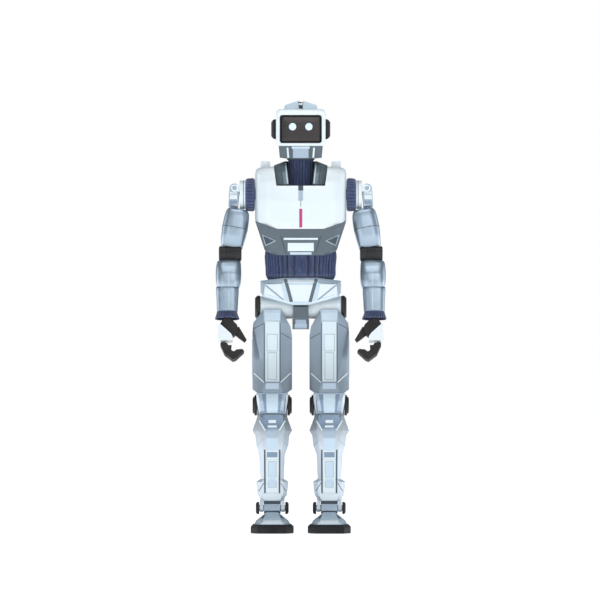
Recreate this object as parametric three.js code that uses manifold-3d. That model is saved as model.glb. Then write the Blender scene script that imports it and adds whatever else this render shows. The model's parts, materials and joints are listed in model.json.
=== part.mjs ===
// Full-size humanoid robot: hard faceted covers over actuators, joined at 28 real joints.
// Millimetres, +Z up, the robot faces -Y, its left side is +X.
// The origin is on the floor, under the middle of the robot's depth, midway between the feet.
import * as THREE from "three";
import { ConvexGeometry } from "three/addons/geometries/ConvexGeometry.js";
import { mergeVertices } from "three/addons/utils/BufferGeometryUtils.js";
import Module from "manifold-3d";

const wasm = await Module();
wasm.setup();

// ---- Driving dimensions ----
const GAP = 0.3; // between pieces that touch
const RUNNING = 0.5; // radial clearance of a shaft in its bore
const SMALL_SIDES = 16; // sides of a small round
const LARGE_SIDES = 28; // sides of a large round

const ANKLE_ROLL_Z = 62;
const ANKLE_PITCH_Z = 100;
const KNEE_Z = 511;
const HIP_ROLL_Z = 830;
const HIP_PITCH_Z = 902;
const WAIST_PITCH_Z = 1050;
const SHOULDER_Z = 1353;
const HEAD_PITCH_Z = 1535;

const LEG_X = 114; // leg centre line from the middle plane
const HIP_BARREL_RADIUS = 45;
const HIP_BARREL_INNER_X = 30;
const HIP_BARREL_OUTER_X = 160;
const PELVIS_HALF_WIDTH = 161;
const PELVIS_TOP_Z = 1021;
const THIGH_HALF_WIDTH = 79;
const THIGH_HALF_DEPTH = 70;
const THIGH_SLOT_HALF_DEPTH = 48.5; // the slot that the hip bracket swings in
const KNEE_CORE_RADIUS = 45;
const KNEE_DISC_RADIUS = 41;
const KNEE_SHAFT_RADIUS = 16;
const ANKLE_SHAFT_RADIUS = 12;
const SOLE_HEIGHT = 36;

const TOE_Y = -178;
const CHEST_BACK_Y = 112;

const CHEST_HALF_WIDTH = 182;
const CHEST_WALL = 7;
const CHEST_SPLIT = [[-300, 1247], [-182, 1247], [-93, 1216], [93, 1216], [182, 1247], [300, 1247]];
const TORSO_BOTTOM_Z = 1110;
const NECK_RADIUS = 50;

const HEAD_FRONT_Y = -105;
const HEAD_HALF_WIDTH = 99;
const HEAD_BOTTOM_Z = 1547;
const HEAD_TOP_Z = 1694;

const ARM_LEAN = THREE.MathUtils.degToRad(9); // the hanging arm leans forward
const UPPER_ARM_TILT = THREE.MathUtils.degToRad(10.3); // and outward
const SHOULDER_ROLL_X = 265;
const SHOULDER_ROLL_Z = 1373;
const CUP_ROUND = 20.4;
const ELBOW_X = 282;
const ELBOW_Z = 1114;
const ELBOW_RADIUS = 30;
const THUMB_PIVOT = [260, 798];
const KNUCKLE_PIVOT = [312, 744];
const FINGER_WIDTH = 15;
const FINGER_PITCH = 19;

const FINISHES = {
  white: { color: 0xe8f4f8, roughness: 0.35, metalness: 0.1 },
  silver: { color: 0xa5b9c8, roughness: 0.4, metalness: 0.45 },
  grey: { color: 0x64707a, roughness: 0.5, metalness: 0.4 },
  black: { color: 0x232326, roughness: 0.5, metalness: 0.1 },
  rubber: { color: 0x1b1b1d, roughness: 0.85, metalness: 0 },
  navy: { color: 0x37446e, roughness: 0.95, metalness: 0 },
  screen: { color: 0x3c3437, roughness: 0.1, metalness: 0 },
  steel: { color: 0x8a8f94, roughness: 0.35, metalness: 0.9 },
};

// ---- Solids ----
function solidOf(geometry) {
  geometry.deleteAttribute("normal");
  geometry.deleteAttribute("uv");
  const merged = mergeVertices(geometry, 1e-4);
  return new wasm.Manifold(
    new wasm.Mesh({
      numProp: 3,
      vertProperties: new Float32Array(merged.attributes.position.array),
      triVerts: new Uint32Array(merged.index.array),
    }),
  );
}

function geometryOf(solid) {
  const { numProp, vertProperties, triVerts } = solid.getMesh();
  const position = new Float32Array((vertProperties.length / numProp) * 3);
  for (let i = 0; i < position.length / 3; i++) {
    position.set(vertProperties.subarray(i * numProp, i * numProp + 3), i * 3);
  }
  const geometry = new THREE.BufferGeometry();
  geometry.setAttribute("position", new THREE.BufferAttribute(position, 3));
  geometry.setIndex(new THREE.BufferAttribute(triVerts, 1));
  geometry.computeVertexNormals();
  return geometry;
}

const join = (first, ...others) => others.reduce((sum, next) => sum.add(next), first);
const cut = (first, ...others) => others.reduce((rest, next) => rest.subtract(next), first);

function box(x0, x1, y0, y1, z0, z1) {
  const geometry = new THREE.BoxGeometry(x1 - x0, y1 - y0, z1 - z0);
  geometry.translate((x0 + x1) / 2, (y0 + y1) / 2, (z0 + z1) / 2);
  return solidOf(geometry);
}

function rod(axis, [x, y, z], radius, from, to, sides = SMALL_SIDES) {
  const geometry = new THREE.CylinderGeometry(radius, radius, to - from, sides);
  const middle = (from + to) / 2;
  if (axis === "x") {
    geometry.rotateZ(-Math.PI / 2).translate(middle, y, z);
  } else if (axis === "y") {
    geometry.translate(x, middle, z);
  } else {
    geometry.rotateX(Math.PI / 2).translate(x, y, middle);
  }
  return solidOf(geometry);
}

// The faceted body with these corners.
function hull(...corners) {
  return solidOf(new ConvexGeometry(corners.flat().map((c) => new THREE.Vector3(...c))));
}

// Both mirrored corners of a point, x taken from the centre line.
const pair = (x, y, z, centre = 0) => [[centre - x, y, z], [centre + x, y, z]];

// A section of eight corners, anticlockwise from above.
function octagon(z, x0, x1, y0, y1, chamfer) {
  const c = chamfer;
  return [
    [x0 + c, y0, z], [x1 - c, y0, z], [x1, y0 + c, z], [x1, y1 - c, z],
    [x1 - c, y1, z], [x0 + c, y1, z], [x0, y1 - c, z], [x0, y0 + c, z],
  ];
}

// A closed skin through sections of equal corner counts, lowest first.
function loft(sections) {
  const count = sections[0].length;
  const index = [];
  for (let s = 0; s + 1 < sections.length; s++) {
    for (let i = 0; i < count; i++) {
      const a = s * count + i;
      const b = s * count + ((i + 1) % count);
      index.push(a, b, b + count, a, b + count, a + count);
    }
  }
  const top = (sections.length - 1) * count;
  for (let i = 1; i + 1 < count; i++) {
    index.push(0, i + 1, i);
    index.push(top, top + i, top + i + 1);
  }
  const geometry = new THREE.BufferGeometry();
  const corners = new Float32Array(sections.flat(2));
  geometry.setAttribute("position", new THREE.BufferAttribute(corners, 3));
  geometry.setIndex(index);
  return solidOf(geometry);
}

// An outline in the X-Z plane, extruded from y0 to y1.
function plateXZ(outline, y0, y1) {
  const shape = new THREE.Shape(outline.map(([x, z]) => new THREE.Vector2(x, z)));
  const geometry = new THREE.ExtrudeGeometry(shape, { depth: y1 - y0, bevelEnabled: false });
  geometry.rotateX(Math.PI / 2);
  geometry.translate(0, y1, 0);
  return solidOf(geometry);
}

function addPiece(parent, name, solid, finish) {
  const mesh = new THREE.Mesh(geometryOf(solid), new THREE.MeshStandardMaterial(FINISHES[finish]));
  mesh.name = name;
  parent.add(mesh);
}

// The legs' axis is at y = 0 in the drawing; the whole robot then moves so that the origin is mid-depth.
const robot = new THREE.Group();
robot.position.y = -(TOE_Y + CHEST_BACK_Y) / 2;

// ---- Pelvis and waist ----
function pelvisCover(side) {
  // side is -1 for the front and 1 for the rear
  const outer = hull(
    pair(66, side * GAP, PELVIS_TOP_Z), pair(66, side * 78, PELVIS_TOP_Z),
    pair(PELVIS_HALF_WIDTH, side * GAP, 1009), pair(PELVIS_HALF_WIDTH, side * 50, 1009),
    pair(60, side * 96, 1002), pair(142, side * 78, 996),
    pair(PELVIS_HALF_WIDTH, side * 52, 950), pair(PELVIS_HALF_WIDTH, side * GAP, 946),
    pair(150, side * 68, 944), pair(32, side * 84, 912), pair(32, side * GAP, 912),
  );
  const thighRoom = rod("x", [0, 0, HIP_PITCH_Z], 79, -200, 200, LARGE_SIDES);
  const post = rod("z", [0, 0, 0], 31, 960, 1040, LARGE_SIDES);
  return cut(outer, thighRoom, post);
}

function pelvisFrame() {
  const nose = (side) => hull(
    pair(HIP_BARREL_INNER_X - GAP, side * 76, 905), pair(HIP_BARREL_INNER_X - GAP, side * 76, 862),
    pair(HIP_BARREL_INNER_X - GAP, side * 40, 905), pair(HIP_BARREL_INNER_X - GAP, side * 40, 820),
  );
  return join(
    box(-HIP_BARREL_INNER_X + GAP, HIP_BARREL_INNER_X - GAP, -50, 50, 815, 958),
    box(-33.5, 33.5, -46, 46, 815, 856),
    nose(-1),
    nose(1),
    rod("z", [0, 0, 0], 30, 950, PELVIS_TOP_Z, LARGE_SIDES),
  );
}

function waistColumn() {
  return join(
    rod("z", [0, 0, 0], 40, PELVIS_TOP_Z + GAP, 1028, LARGE_SIDES),
    box(-24, 24, -18, 18, 1027, 1062),
    rod("x", [0, 0, WAIST_PITCH_Z], 12, -46, 46),
  );
}

function waistSleeve() {
  const outer = [octagon(1030, -137, 137, -90, 88, 44), octagon(1106, -141, 141, -94, 90, 46)];
  const inner = [octagon(1029, -129, 129, -82, 80, 40), octagon(1107, -133, 133, -86, 82, 42)];
  return cut(loft(outer), loft(inner));
}

addPiece(robot, "pelvis_frame", pelvisFrame(), "grey");
addPiece(robot, "pelvis_front_cover", pelvisCover(-1), "silver");
addPiece(robot, "pelvis_rear_cover", pelvisCover(1), "silver");
addPiece(robot, "waist_column", waistColumn(), "steel");
addPiece(robot, "waist_sleeve", waistSleeve(), "navy");

// ---- Torso ----
// The outside of the torso, drawn in by inset on every side.
function torsoBody(inset, bottom, top) {
  const half = CHEST_HALF_WIDTH - inset;
  const front = inset;
  return loft([
    octagon(bottom, -109 + inset, 109 - inset, -98 + front, 76 - inset, 22),
    octagon(1131, -144 + inset, 144 - inset, -104 + front, 86 - inset, 24),
    octagon(1247, -half, half, -116 + front, 104 - inset, 36),
    octagon(1330, -half, half, -124 + front, CHEST_BACK_Y - inset, 52),
    octagon(1415, -half, half, -112 + front, 106 - inset, 44),
    octagon(1452 - inset, -half + 2, half - 2, -82 + front, 92 - inset, 30),
    octagon(top, -half + 60, half - 60, -66 + front, 80 - inset, 26),
  ]);
}

const torsoOuter = torsoBody(0, TORSO_BOTTOM_Z, 1466);
const torsoInner = torsoBody(CHEST_WALL, TORSO_BOTTOM_Z - 1, 1466 - CHEST_WALL);
const chestRegion = plateXZ([...CHEST_SPLIT, [300, 1600], [-300, 1600]], -200, 200);
const abdomenRegion = plateXZ(
  [[-300, 1000], [300, 1000], ...CHEST_SPLIT.map(([x, z]) => [x, z - GAP]).reverse()],
  -200,
  200,
);
const collarSeat = loft([octagon(1388, -97, 97, -140, 62, 20), octagon(1475, -108, 108, -140, 78, 24)]);
const lugHoles = join(box(120, 163, -16, 16, 1440, 1480), box(-163, -120, -16, 16, 1440, 1480));
const shoulderHoles = rod("x", [0, 0, SHOULDER_Z], 34, -200, 200, LARGE_SIDES);

function chestShell(side) {
  const [near, far] = side < 0 ? [-200, -GAP / 2] : [GAP / 2, 200];
  const half = box(-300, 300, near, far, 1000, 1600);
  const shell = cut(torsoOuter, torsoInner).intersect(chestRegion).intersect(half);
  return cut(shell, collarSeat, lugHoles, shoulderHoles);
}

function abdomenCover() {
  return cut(torsoOuter, torsoInner).intersect(abdomenRegion);
}

function torsoFrame() {
  const side = (s) => {
    const fork = hull(
      [[s * 27, -18, 1050], [s * 27, 18, 1050], [s * 44, -18, 1050], [s * 44, 18, 1050]],
      [[s * 27, -18, 1140], [s * 27, 18, 1140], [s * 44, -18, 1140], [s * 44, 18, 1140]],
    );
    const [low, high] = [Math.min(s * 27, s * 44), Math.max(s * 27, s * 44)];
    const eye = rod("x", [0, 0, WAIST_PITCH_Z], 18, low, high, SMALL_SIDES);
    const post = s < 0 ? box(-148, -128, -10, 10, 1360, 1465) : box(128, 148, -10, 10, 1360, 1465);
    const lug = hull(
      [[s * 123, -14, 1487], [s * 123, 14, 1487], [s * 160, -14, 1487], [s * 160, 14, 1487]],
      [[s * 121, -14, 1460], [s * 121, 14, 1460], [s * 162, -14, 1460], [s * 162, 14, 1460]],
    );
    return join(fork, eye, post, lug);
  };
  const bore = rod("x", [0, 0, WAIST_PITCH_Z], 12 + RUNNING, -60, 60);
  const frame = join(
    side(-1),
    side(1),
    box(-60, 60, -30, 26, 1130, 1150),
    box(-46, 46, -30, 26, 1140, 1372),
    box(-148, 148, -24, 24, 1332, 1372),
    rod("z", [0, 0, 0], 34, 1360, 1384, LARGE_SIDES),
  );
  return cut(frame, bore);
}

function collar() {
  const outer = loft([
    octagon(1393, -96, 96, -106, 61, 30),
    octagon(1440, -103, 103, -96, 70, 30),
    octagon(1470, -107, 107, -64, 75, 34),
    octagon(1487, -64, 64, -30, 62, 18),
  ]);
  const throat = rod("z", [0, 0, 0], NECK_RADIUS + 6, 1380, 1500, LARGE_SIDES);
  const frontSlot = loft([octagon(1380, -46, 46, -150, 0, 4), octagon(1500, -58, 58, -150, 0, 4)]);
  return cut(outer, throat, frontSlot);
}

addPiece(robot, "torso_frame", torsoFrame(), "steel");
addPiece(robot, "battery_pack", box(-100, 100, 30, 74, 1175, 1320), "black");
addPiece(robot, "chest_front_shell", chestShell(-1), "white");
addPiece(robot, "chest_back_shell", chestShell(1), "white");
addPiece(robot, "chest_lower_cover", abdomenCover(), "grey");
addPiece(robot, "collar", collar(), "silver");

// ---- Neck and head ----
function neckColumn() {
  return join(
    rod("z", [0, 0, 0], 24, 1384 + GAP, 1505, LARGE_SIDES),
    box(-20, 20, -16, 16, 1500, 1545),
    rod("x", [0, 0, HEAD_PITCH_Z], 12, -60, 60),
  );
}

function neckSleeve() {
  const outer = [[44, 1394], [NECK_RADIUS, 1396], [NECK_RADIUS + 3, 1474], [46, 1476]];
  const profile = [...outer, outer[0]].map(([r, z]) => new THREE.Vector2(r, z));
  const geometry = new THREE.LatheGeometry(profile, LARGE_SIDES);
  geometry.rotateX(Math.PI / 2);
  return solidOf(geometry);
}

function jawCover() {
  const outer = hull(
    pair(88, -72, HEAD_BOTTOM_Z - GAP), pair(88, 34, HEAD_BOTTOM_Z - GAP),
    pair(56, -90, HEAD_BOTTOM_Z - GAP), pair(84, -64, 1501), pair(84, 24, 1501),
    pair(50, -84, 1497), pair(50, 20, 1497),
  );
  const bore = rod("x", [0, 0, HEAD_PITCH_Z], 12 + RUNNING, -62, 62);
  return cut(outer, box(-46, 46, -46, 60, 1490, 1560), bore);
}

function headShell() {
  const outer = loft([
    octagon(HEAD_BOTTOM_Z, -93, 93, -60 + GAP, 78, 14),
    octagon(HEAD_BOTTOM_Z + 30, -95, 95, -60 + GAP, 98, 26),
    octagon(HEAD_TOP_Z - 34, -95, 95, -60 + GAP, 98, 30),
    octagon(HEAD_TOP_Z, -80, 80, -60 + GAP, 74, 20),
  ]);
  const inner = loft([
    octagon(HEAD_BOTTOM_Z + 6, -86, 86, -70, 72, 12),
    octagon(HEAD_TOP_Z - 36, -88, 88, -70, 90, 26),
    octagon(HEAD_TOP_Z - 7, -74, 74, -70, 66, 18),
  ]);
  return cut(outer, inner, box(-46, 46, -46, 50, 1540, 1560));
}

function faceFrame() {
  const half = HEAD_HALF_WIDTH;
  const back = -60;
  const outer = hull(
    pair(half, back, 1551), pair(half, back, 1684), pair(half - 4, back, HEAD_BOTTOM_Z),
    pair(82, back, HEAD_TOP_Z), pair(half - 8, HEAD_FRONT_Y, HEAD_BOTTOM_Z + 8),
    pair(half - 8, HEAD_FRONT_Y, 1676), pair(78, HEAD_FRONT_Y, HEAD_TOP_Z - 9),
    pair(half, -92, 1553), pair(half, -92, 1680), pair(half - 5, -95, HEAD_BOTTOM_Z),
    pair(82, -95, HEAD_TOP_Z),
  );
  const opening = box(-80, 80, -200, 0, 1561, 1668);
  const recess = hull(
    pair(84, HEAD_FRONT_Y - 1, 1557), pair(84, HEAD_FRONT_Y - 1, 1672),
    pair(80, -92, 1561), pair(80, -92, 1668),
  );
  return cut(outer, opening, recess);
}

function crownCover() {
  const low = HEAD_TOP_Z + GAP;
  const outer = hull(
    pair(67, -52, low), pair(67, 62, low), pair(63, -46, 1711), pair(63, 54, 1711),
    pair(9, -40, 1729), pair(9, 42, 1729),
  );
  return cut(outer, box(-9, 9, -80, 80, 1712, 1740));
}

function earPad() {
  return hull(
    [[95 + GAP, -42, 1574], [95 + GAP, 42, 1574], [95 + GAP, -42, 1656], [95 + GAP, 42, 1656]],
    [[110, -44, 1577], [110, 44, 1577], [110, -44, 1653], [110, 44, 1653]],
    [[117, -36, 1586], [117, 36, 1586], [117, -36, 1644], [117, 36, 1644]],
  );
}

addPiece(robot, "neck_column", neckColumn(), "steel");
addPiece(robot, "neck_sleeve", neckSleeve(), "navy");
addPiece(robot, "jaw_cover", jawCover(), "grey");
addPiece(robot, "head_shell", headShell(), "white");
addPiece(robot, "face_frame", faceFrame(), "white");
addPiece(robot, "face_display", box(-79.6, 79.6, -90, -66, 1561.4, 1667.6), "screen");
addPiece(robot, "crown_cover", crownCover(), "silver");

// ---- Arm, drawn for the left side ----
function shoulderSleeve() {
  const ring = rod("x", [0, 0, SHOULDER_Z], 65, 183, 221.5, LARGE_SIDES);
  return cut(ring, rod("x", [0, 0, SHOULDER_Z], 30, 180, 230, LARGE_SIDES));
}

// The pitch link: a disc on a shaft, with two ears round the roll axis.
function shoulderRing() {
  const ear = (y0, y1) => join(
    rod("y", [SHOULDER_ROLL_X, 0, SHOULDER_ROLL_Z], 14, y0, y1),
    box(240, SHOULDER_ROLL_X, y0, y1, SHOULDER_ROLL_Z - 14, SHOULDER_ROLL_Z + 14),
  );
  const link = join(
    rod("x", [0, 0, SHOULDER_Z], 57, 222, 244, LARGE_SIDES),
    rod("x", [0, 0, SHOULDER_Z], 24, 156, 223, LARGE_SIDES),
    ear(34, 44),
    ear(-44, -34),
  );
  return cut(link, rod("y", [SHOULDER_ROLL_X, 0, SHOULDER_ROLL_Z], 8 + RUNNING, -50, 50));
}

// The roll link: rounded about the roll axis so that it clears the disc as the arm lifts.
function shoulderCup() {
  const [x, z] = [SHOULDER_ROLL_X, SHOULDER_ROLL_Z];
  const bottom = (dx, y) => [x + dx, y, 1301 + 0.182 * dx];
  const body = join(
    rod("y", [x, 0, z], CUP_ROUND, -33, 33, LARGE_SIDES),
    hull(
      [[x - CUP_ROUND, -33, z], [x - CUP_ROUND, 33, z], [x + CUP_ROUND, -33, z], [x + CUP_ROUND, 33, z]],
      [bottom(-14, -33), bottom(-14, 33), bottom(24, -33), bottom(24, 33)],
    ),
    hull(
      [[x - 17, -44, 1346], [x - 17, 44, 1346], [x + 21, -44, 1346], [x + 21, 44, 1346]],
      [bottom(-13, -48), bottom(-13, 48), bottom(24, -48), bottom(24, 48)],
    ),
    rod("y", [x, 0, z], 8, -44, 44),
  );
  return body;
}

// In the tilted frame whose origin is the elbow centre.
function upperArmShell() {
  const body = loft([
    octagon(25, -43, 43, -17, 42, 14),
    octagon(62, -50, 50, -43, 48, 18),
    octagon(104, -56, 56, -50, 50, 20),
    octagon(150, -55, 55, -52, 52, 22),
    octagon(170, -50, 50, -50, 50, 22),
    octagon(180, -34, 38, -40, 40, 16),
  ]);
  const seat = new THREE.CylinderGeometry(ELBOW_RADIUS + 0.6, ELBOW_RADIUS + 0.6, 200, LARGE_SIDES);
  seat.rotateZ(-Math.PI / 2).rotateY(UPPER_ARM_TILT);
  return cut(body, solidOf(seat));
}

function elbowRing() {
  const ring = rod("x", [0, 0, ELBOW_Z], ELBOW_RADIUS, ELBOW_X - 44, ELBOW_X + 44, LARGE_SIDES);
  return ring;
}

function forearmShell() {
  const body = loft([
    octagon(878, 251, 335, -40, 40, 16),
    octagon(966, 248, 338, -44, 44, 18),
    octagon(972, 246, 340, -46, 46, 18),
    octagon(985, 237, 343, -50, 50, 22),
    octagon(1027, 231, 347, -52, 52, 24),
    octagon(1052, 234, 345, -43, 50, 20),
    octagon(1088, 240, 326, -15, 44, 12),
  ]);
  const seat = rod("x", [0, 0, ELBOW_Z], ELBOW_RADIUS + 1, 200, 380, LARGE_SIDES);
  return cut(body, seat);
}

function wristSection() {
  const cuff = loft([octagon(852, 246, 342, -46, 46, 18), octagon(878 - GAP, 254, 334, -40, 40, 16)]);
  const core = plateXZ([[280, 790], [318, 822], [318, 856], [280, 856]], -30, 30);
  return join(cuff, core);
}

function handShell() {
  return plateXZ([[279, 786], [272, 774], [272, 758], [331, 758], [328, 820], [322, 825]], -40, 40);
}

// The palm passes over the core, which fits a slot in it.
function palmSlot() {
  const grow = GAP;
  return plateXZ(
    [
      [280 - grow, 780], [280 - grow, 790 - grow], [318 + grow, 822 - grow], [318 + grow, 870],
      [270, 870], [270, 780],
    ],
    -30 - grow,
    30 + grow,
  );
}

function thumb() {
  const [x, z] = THUMB_PIVOT;
  return join(
    rod("y", [x, 0, z], 13, -14, 14),
    plateXZ([[x + 6, z + 11], [247, 818], [216, 765], [224, 755], [244, 770], [x + 4, z - 12]], -12, 12),
  );
}

function fingers() {
  const [x, z] = KNUCKLE_PIVOT;
  const outline = [
    [x, z + 9], [295, 749], [288, 739], [276, 740], [279, 733], [276, 719], [267, 714], [256, 722],
    [233, 724], [226, 716], [258, 686], [271, 681], [304, 706], [x + 9, z],
  ];
  const knuckles = rod("y", [x, 0, z], 9, -36, 36);
  const comb = [-1.5, -0.5, 0.5, 1.5].map((step) => {
    const centre = step * FINGER_PITCH;
    return plateXZ(outline.slice().reverse(), centre - FINGER_WIDTH / 2, centre + FINGER_WIDTH / 2);
  });
  return join(knuckles, ...comb);
}

// ---- Leg, drawn for the left side ----
function hipBracket() {
  const plate = join(
    rod("x", [0, 0, HIP_PITCH_Z], 42, 161, 168, LARGE_SIDES),
    box(161, 168, -26, 26, 815, HIP_PITCH_Z),
  );
  return join(
    plate,
    box(92, 168, -26, 26, 812, 851),
    rod("y", [LEG_X, 0, HIP_ROLL_Z], 10, -64, 64),
  );
}

function thighShell() {
  // a front and a rear corner of the shell beside the hip
  const wing = (x, y, z) => [[x, -y, z], [x, y, z]];
  const outer = hull(
    pair(35, -58, 894, LEG_X), pair(35, 58, 894, LEG_X),
    pair(32, -THIGH_HALF_DEPTH, 842, LEG_X), pair(32, THIGH_HALF_DEPTH, 842, LEG_X),
    wing(LEG_X + 76, 54, 840), wing(LEG_X + THIGH_HALF_WIDTH, 50, 802),
    wing(LEG_X - 56, 55, 857), wing(LEG_X - 73, 54, 826), wing(LEG_X - THIGH_HALF_WIDTH, 50, 790),
    pair(THIGH_HALF_WIDTH, -30, 575, LEG_X), pair(THIGH_HALF_WIDTH, 24, 575, LEG_X),
    pair(32, -THIGH_HALF_DEPTH, 604, LEG_X), pair(32, THIGH_HALF_DEPTH, 624, LEG_X),
    pair(THIGH_HALF_WIDTH, 32, 612, LEG_X),
    pair(60, -46, 561, LEG_X), pair(40, -60, 561, LEG_X), pair(60, 22, 561, LEG_X), pair(40, 28, 561, LEG_X),
  );
  return cut(
    outer,
    box(0, 250, -THIGH_SLOT_HALF_DEPTH, THIGH_SLOT_HALF_DEPTH, 780, 920),
    box(LEG_X - 52, LEG_X + 52, -44, 44, 600, 790),
    rod("y", [LEG_X, 0, HIP_ROLL_Z], 10 + RUNNING, -100, 100),
  );
}

function kneeCap() {
  const plate = hull(
    pair(64, -44, 561 - GAP, LEG_X), pair(60, -62, 561 - GAP, LEG_X), pair(62, -44, 520, LEG_X),
    pair(50, -74, 530, LEG_X), pair(46, -70, 490, LEG_X), pair(54, -44, 478, LEG_X),
    pair(52, -58, 478, LEG_X),
  );
  const body = join(
    plate,
    rod("x", [0, 0, KNEE_Z], KNEE_CORE_RADIUS, LEG_X - 49, LEG_X + 49, LARGE_SIDES),
    box(LEG_X - 45, LEG_X + 45, -50, 24, KNEE_Z + 10, 561 - GAP),
  );
  return cut(body, rod("x", [0, 0, KNEE_Z], KNEE_SHAFT_RADIUS + RUNNING, 0, 250));
}

function kneeAxle() {
  const disc = (s) => {
    const at = (a, b) => [Math.min(LEG_X + s * a, LEG_X + s * b), Math.max(LEG_X + s * a, LEG_X + s * b)];
    return join(
      rod("x", [0, 0, KNEE_Z], KNEE_DISC_RADIUS, ...at(61, 71), LARGE_SIDES),
      rod("x", [0, 0, KNEE_Z], 33, ...at(70, 77.5), LARGE_SIDES),
    );
  };
  const shaft = rod("x", [0, 0, KNEE_Z], KNEE_SHAFT_RADIUS, LEG_X - 62, LEG_X + 62);
  return join(shaft, disc(-1), disc(1));
}

function shinShell() {
  const section = (z, half, y0, y1, chamfer) => octagon(z, LEG_X - half, LEG_X + half, y0, y1, chamfer);
  const body = loft([
    section(129, 39, -34, 38, 12),
    section(151, 58, -44, 46, 16),
    section(175, 62, -50, 50, 18),
    section(205, 64.5, -52, 54, 20),
    section(216, 46.5, -50, 50, 16),
    section(312, 50.5, -58, 58, 18),
    section(353, 65, -62, 62, 22),
    section(390, 68, -64, 62, 24),
    section(410, 79.6, -66, 58, 28),
    section(440, 68, -64, 44, 22),
    section(475, 56, -58, 22, 16),
  ]);
  const ear = (s) => {
    const [x0, x1] = s < 0 ? [LEG_X - 60, LEG_X - 50] : [LEG_X + 50, LEG_X + 60];
    return join(rod("x", [0, 0, KNEE_Z], 30, x0, x1, LARGE_SIDES), box(x0, x1, -26, 26, 440, KNEE_Z));
  };
  const tongue = (s) => {
    const [x0, x1] = s < 0 ? [LEG_X - 50, LEG_X - 36] : [LEG_X + 36, LEG_X + 50];
    return join(
      rod("x", [0, 0, ANKLE_PITCH_Z], 16, x0, x1),
      box(x0, x1, -16, 16, ANKLE_PITCH_Z, 150),
    );
  };
  return cut(
    join(
      cut(body, rod("x", [0, 0, KNEE_Z], KNEE_CORE_RADIUS + 2, 0, 250, LARGE_SIDES)),
      ear(-1),
      ear(1),
      tongue(-1),
      tongue(1),
    ),
    box(LEG_X - 49.6, LEG_X + 49.6, -47, 47, KNEE_Z - 46, KNEE_Z + 60),
    box(LEG_X - 30, LEG_X + 30, -34, 30, 150, 480),
    rod("x", [0, 0, KNEE_Z], KNEE_SHAFT_RADIUS + RUNNING, 0, 250),
    rod("x", [0, 0, ANKLE_PITCH_Z], ANKLE_SHAFT_RADIUS + RUNNING, 0, 250),
  );
}

function ankleBlock() {
  const disc = (x0, x1) => rod("x", [0, 0, ANKLE_PITCH_Z], 25, LEG_X + x0, LEG_X + x1);
  return join(
    rod("x", [0, 0, ANKLE_PITCH_Z], 22, LEG_X - 34, LEG_X + 34, LARGE_SIDES),
    rod("x", [0, 0, ANKLE_PITCH_Z], ANKLE_SHAFT_RADIUS, LEG_X - 60, LEG_X + 60),
    disc(-66, -52),
    disc(52, 66),
    box(LEG_X - 18, LEG_X + 18, -16, 16, ANKLE_ROLL_Z, ANKLE_PITCH_Z),
    rod("y", [LEG_X, 0, ANKLE_ROLL_Z], 14, -38, 38),
    rod("y", [LEG_X, 0, ANKLE_ROLL_Z], 8, -52, 52),
  );
}

function footCover() {
  const low = SOLE_HEIGHT + GAP;
  const outer = hull(
    pair(72, -70, low, LEG_X), pair(72, 50, low, LEG_X), pair(50, -164, low, LEG_X),
    pair(52, 84, low, LEG_X), pair(64, -62, 50, LEG_X), pair(64, 44, 50, LEG_X),
    pair(40, -152, 47, LEG_X), pair(44, 76, 56, LEG_X), pair(34, 56, 74, LEG_X),
    pair(40, -60, 70, LEG_X), pair(24, -46, 84, LEG_X),
  );
  return cut(
    outer,
    box(LEG_X - 38, LEG_X + 38, -41, 41, 45, 100),
    rod("y", [LEG_X, 0, ANKLE_ROLL_Z], 8 + RUNNING, -54, 54),
  );
}

function footSole() {
  const toe = TOE_Y;
  const heel = 92;
  return hull(
    pair(84, -91, 0, LEG_X), pair(84, 61, 0, LEG_X),
    pair(56, toe + 4, 0, LEG_X), pair(58, heel - 4, 0, LEG_X),
    pair(86, -92, 4, LEG_X), pair(86, 62, 4, LEG_X), pair(58, toe, 6, LEG_X), pair(60, heel, 6, LEG_X),
    pair(86, -90, 26, LEG_X), pair(86, 60, 26, LEG_X), pair(58, toe, 24, LEG_X), pair(60, heel, 26, LEG_X),
    pair(76, -84, SOLE_HEIGHT, LEG_X), pair(76, 56, SOLE_HEIGHT, LEG_X),
    pair(54, toe + 5, SOLE_HEIGHT, LEG_X), pair(56, heel - 4, SOLE_HEIGHT, LEG_X),
  );
}

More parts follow.
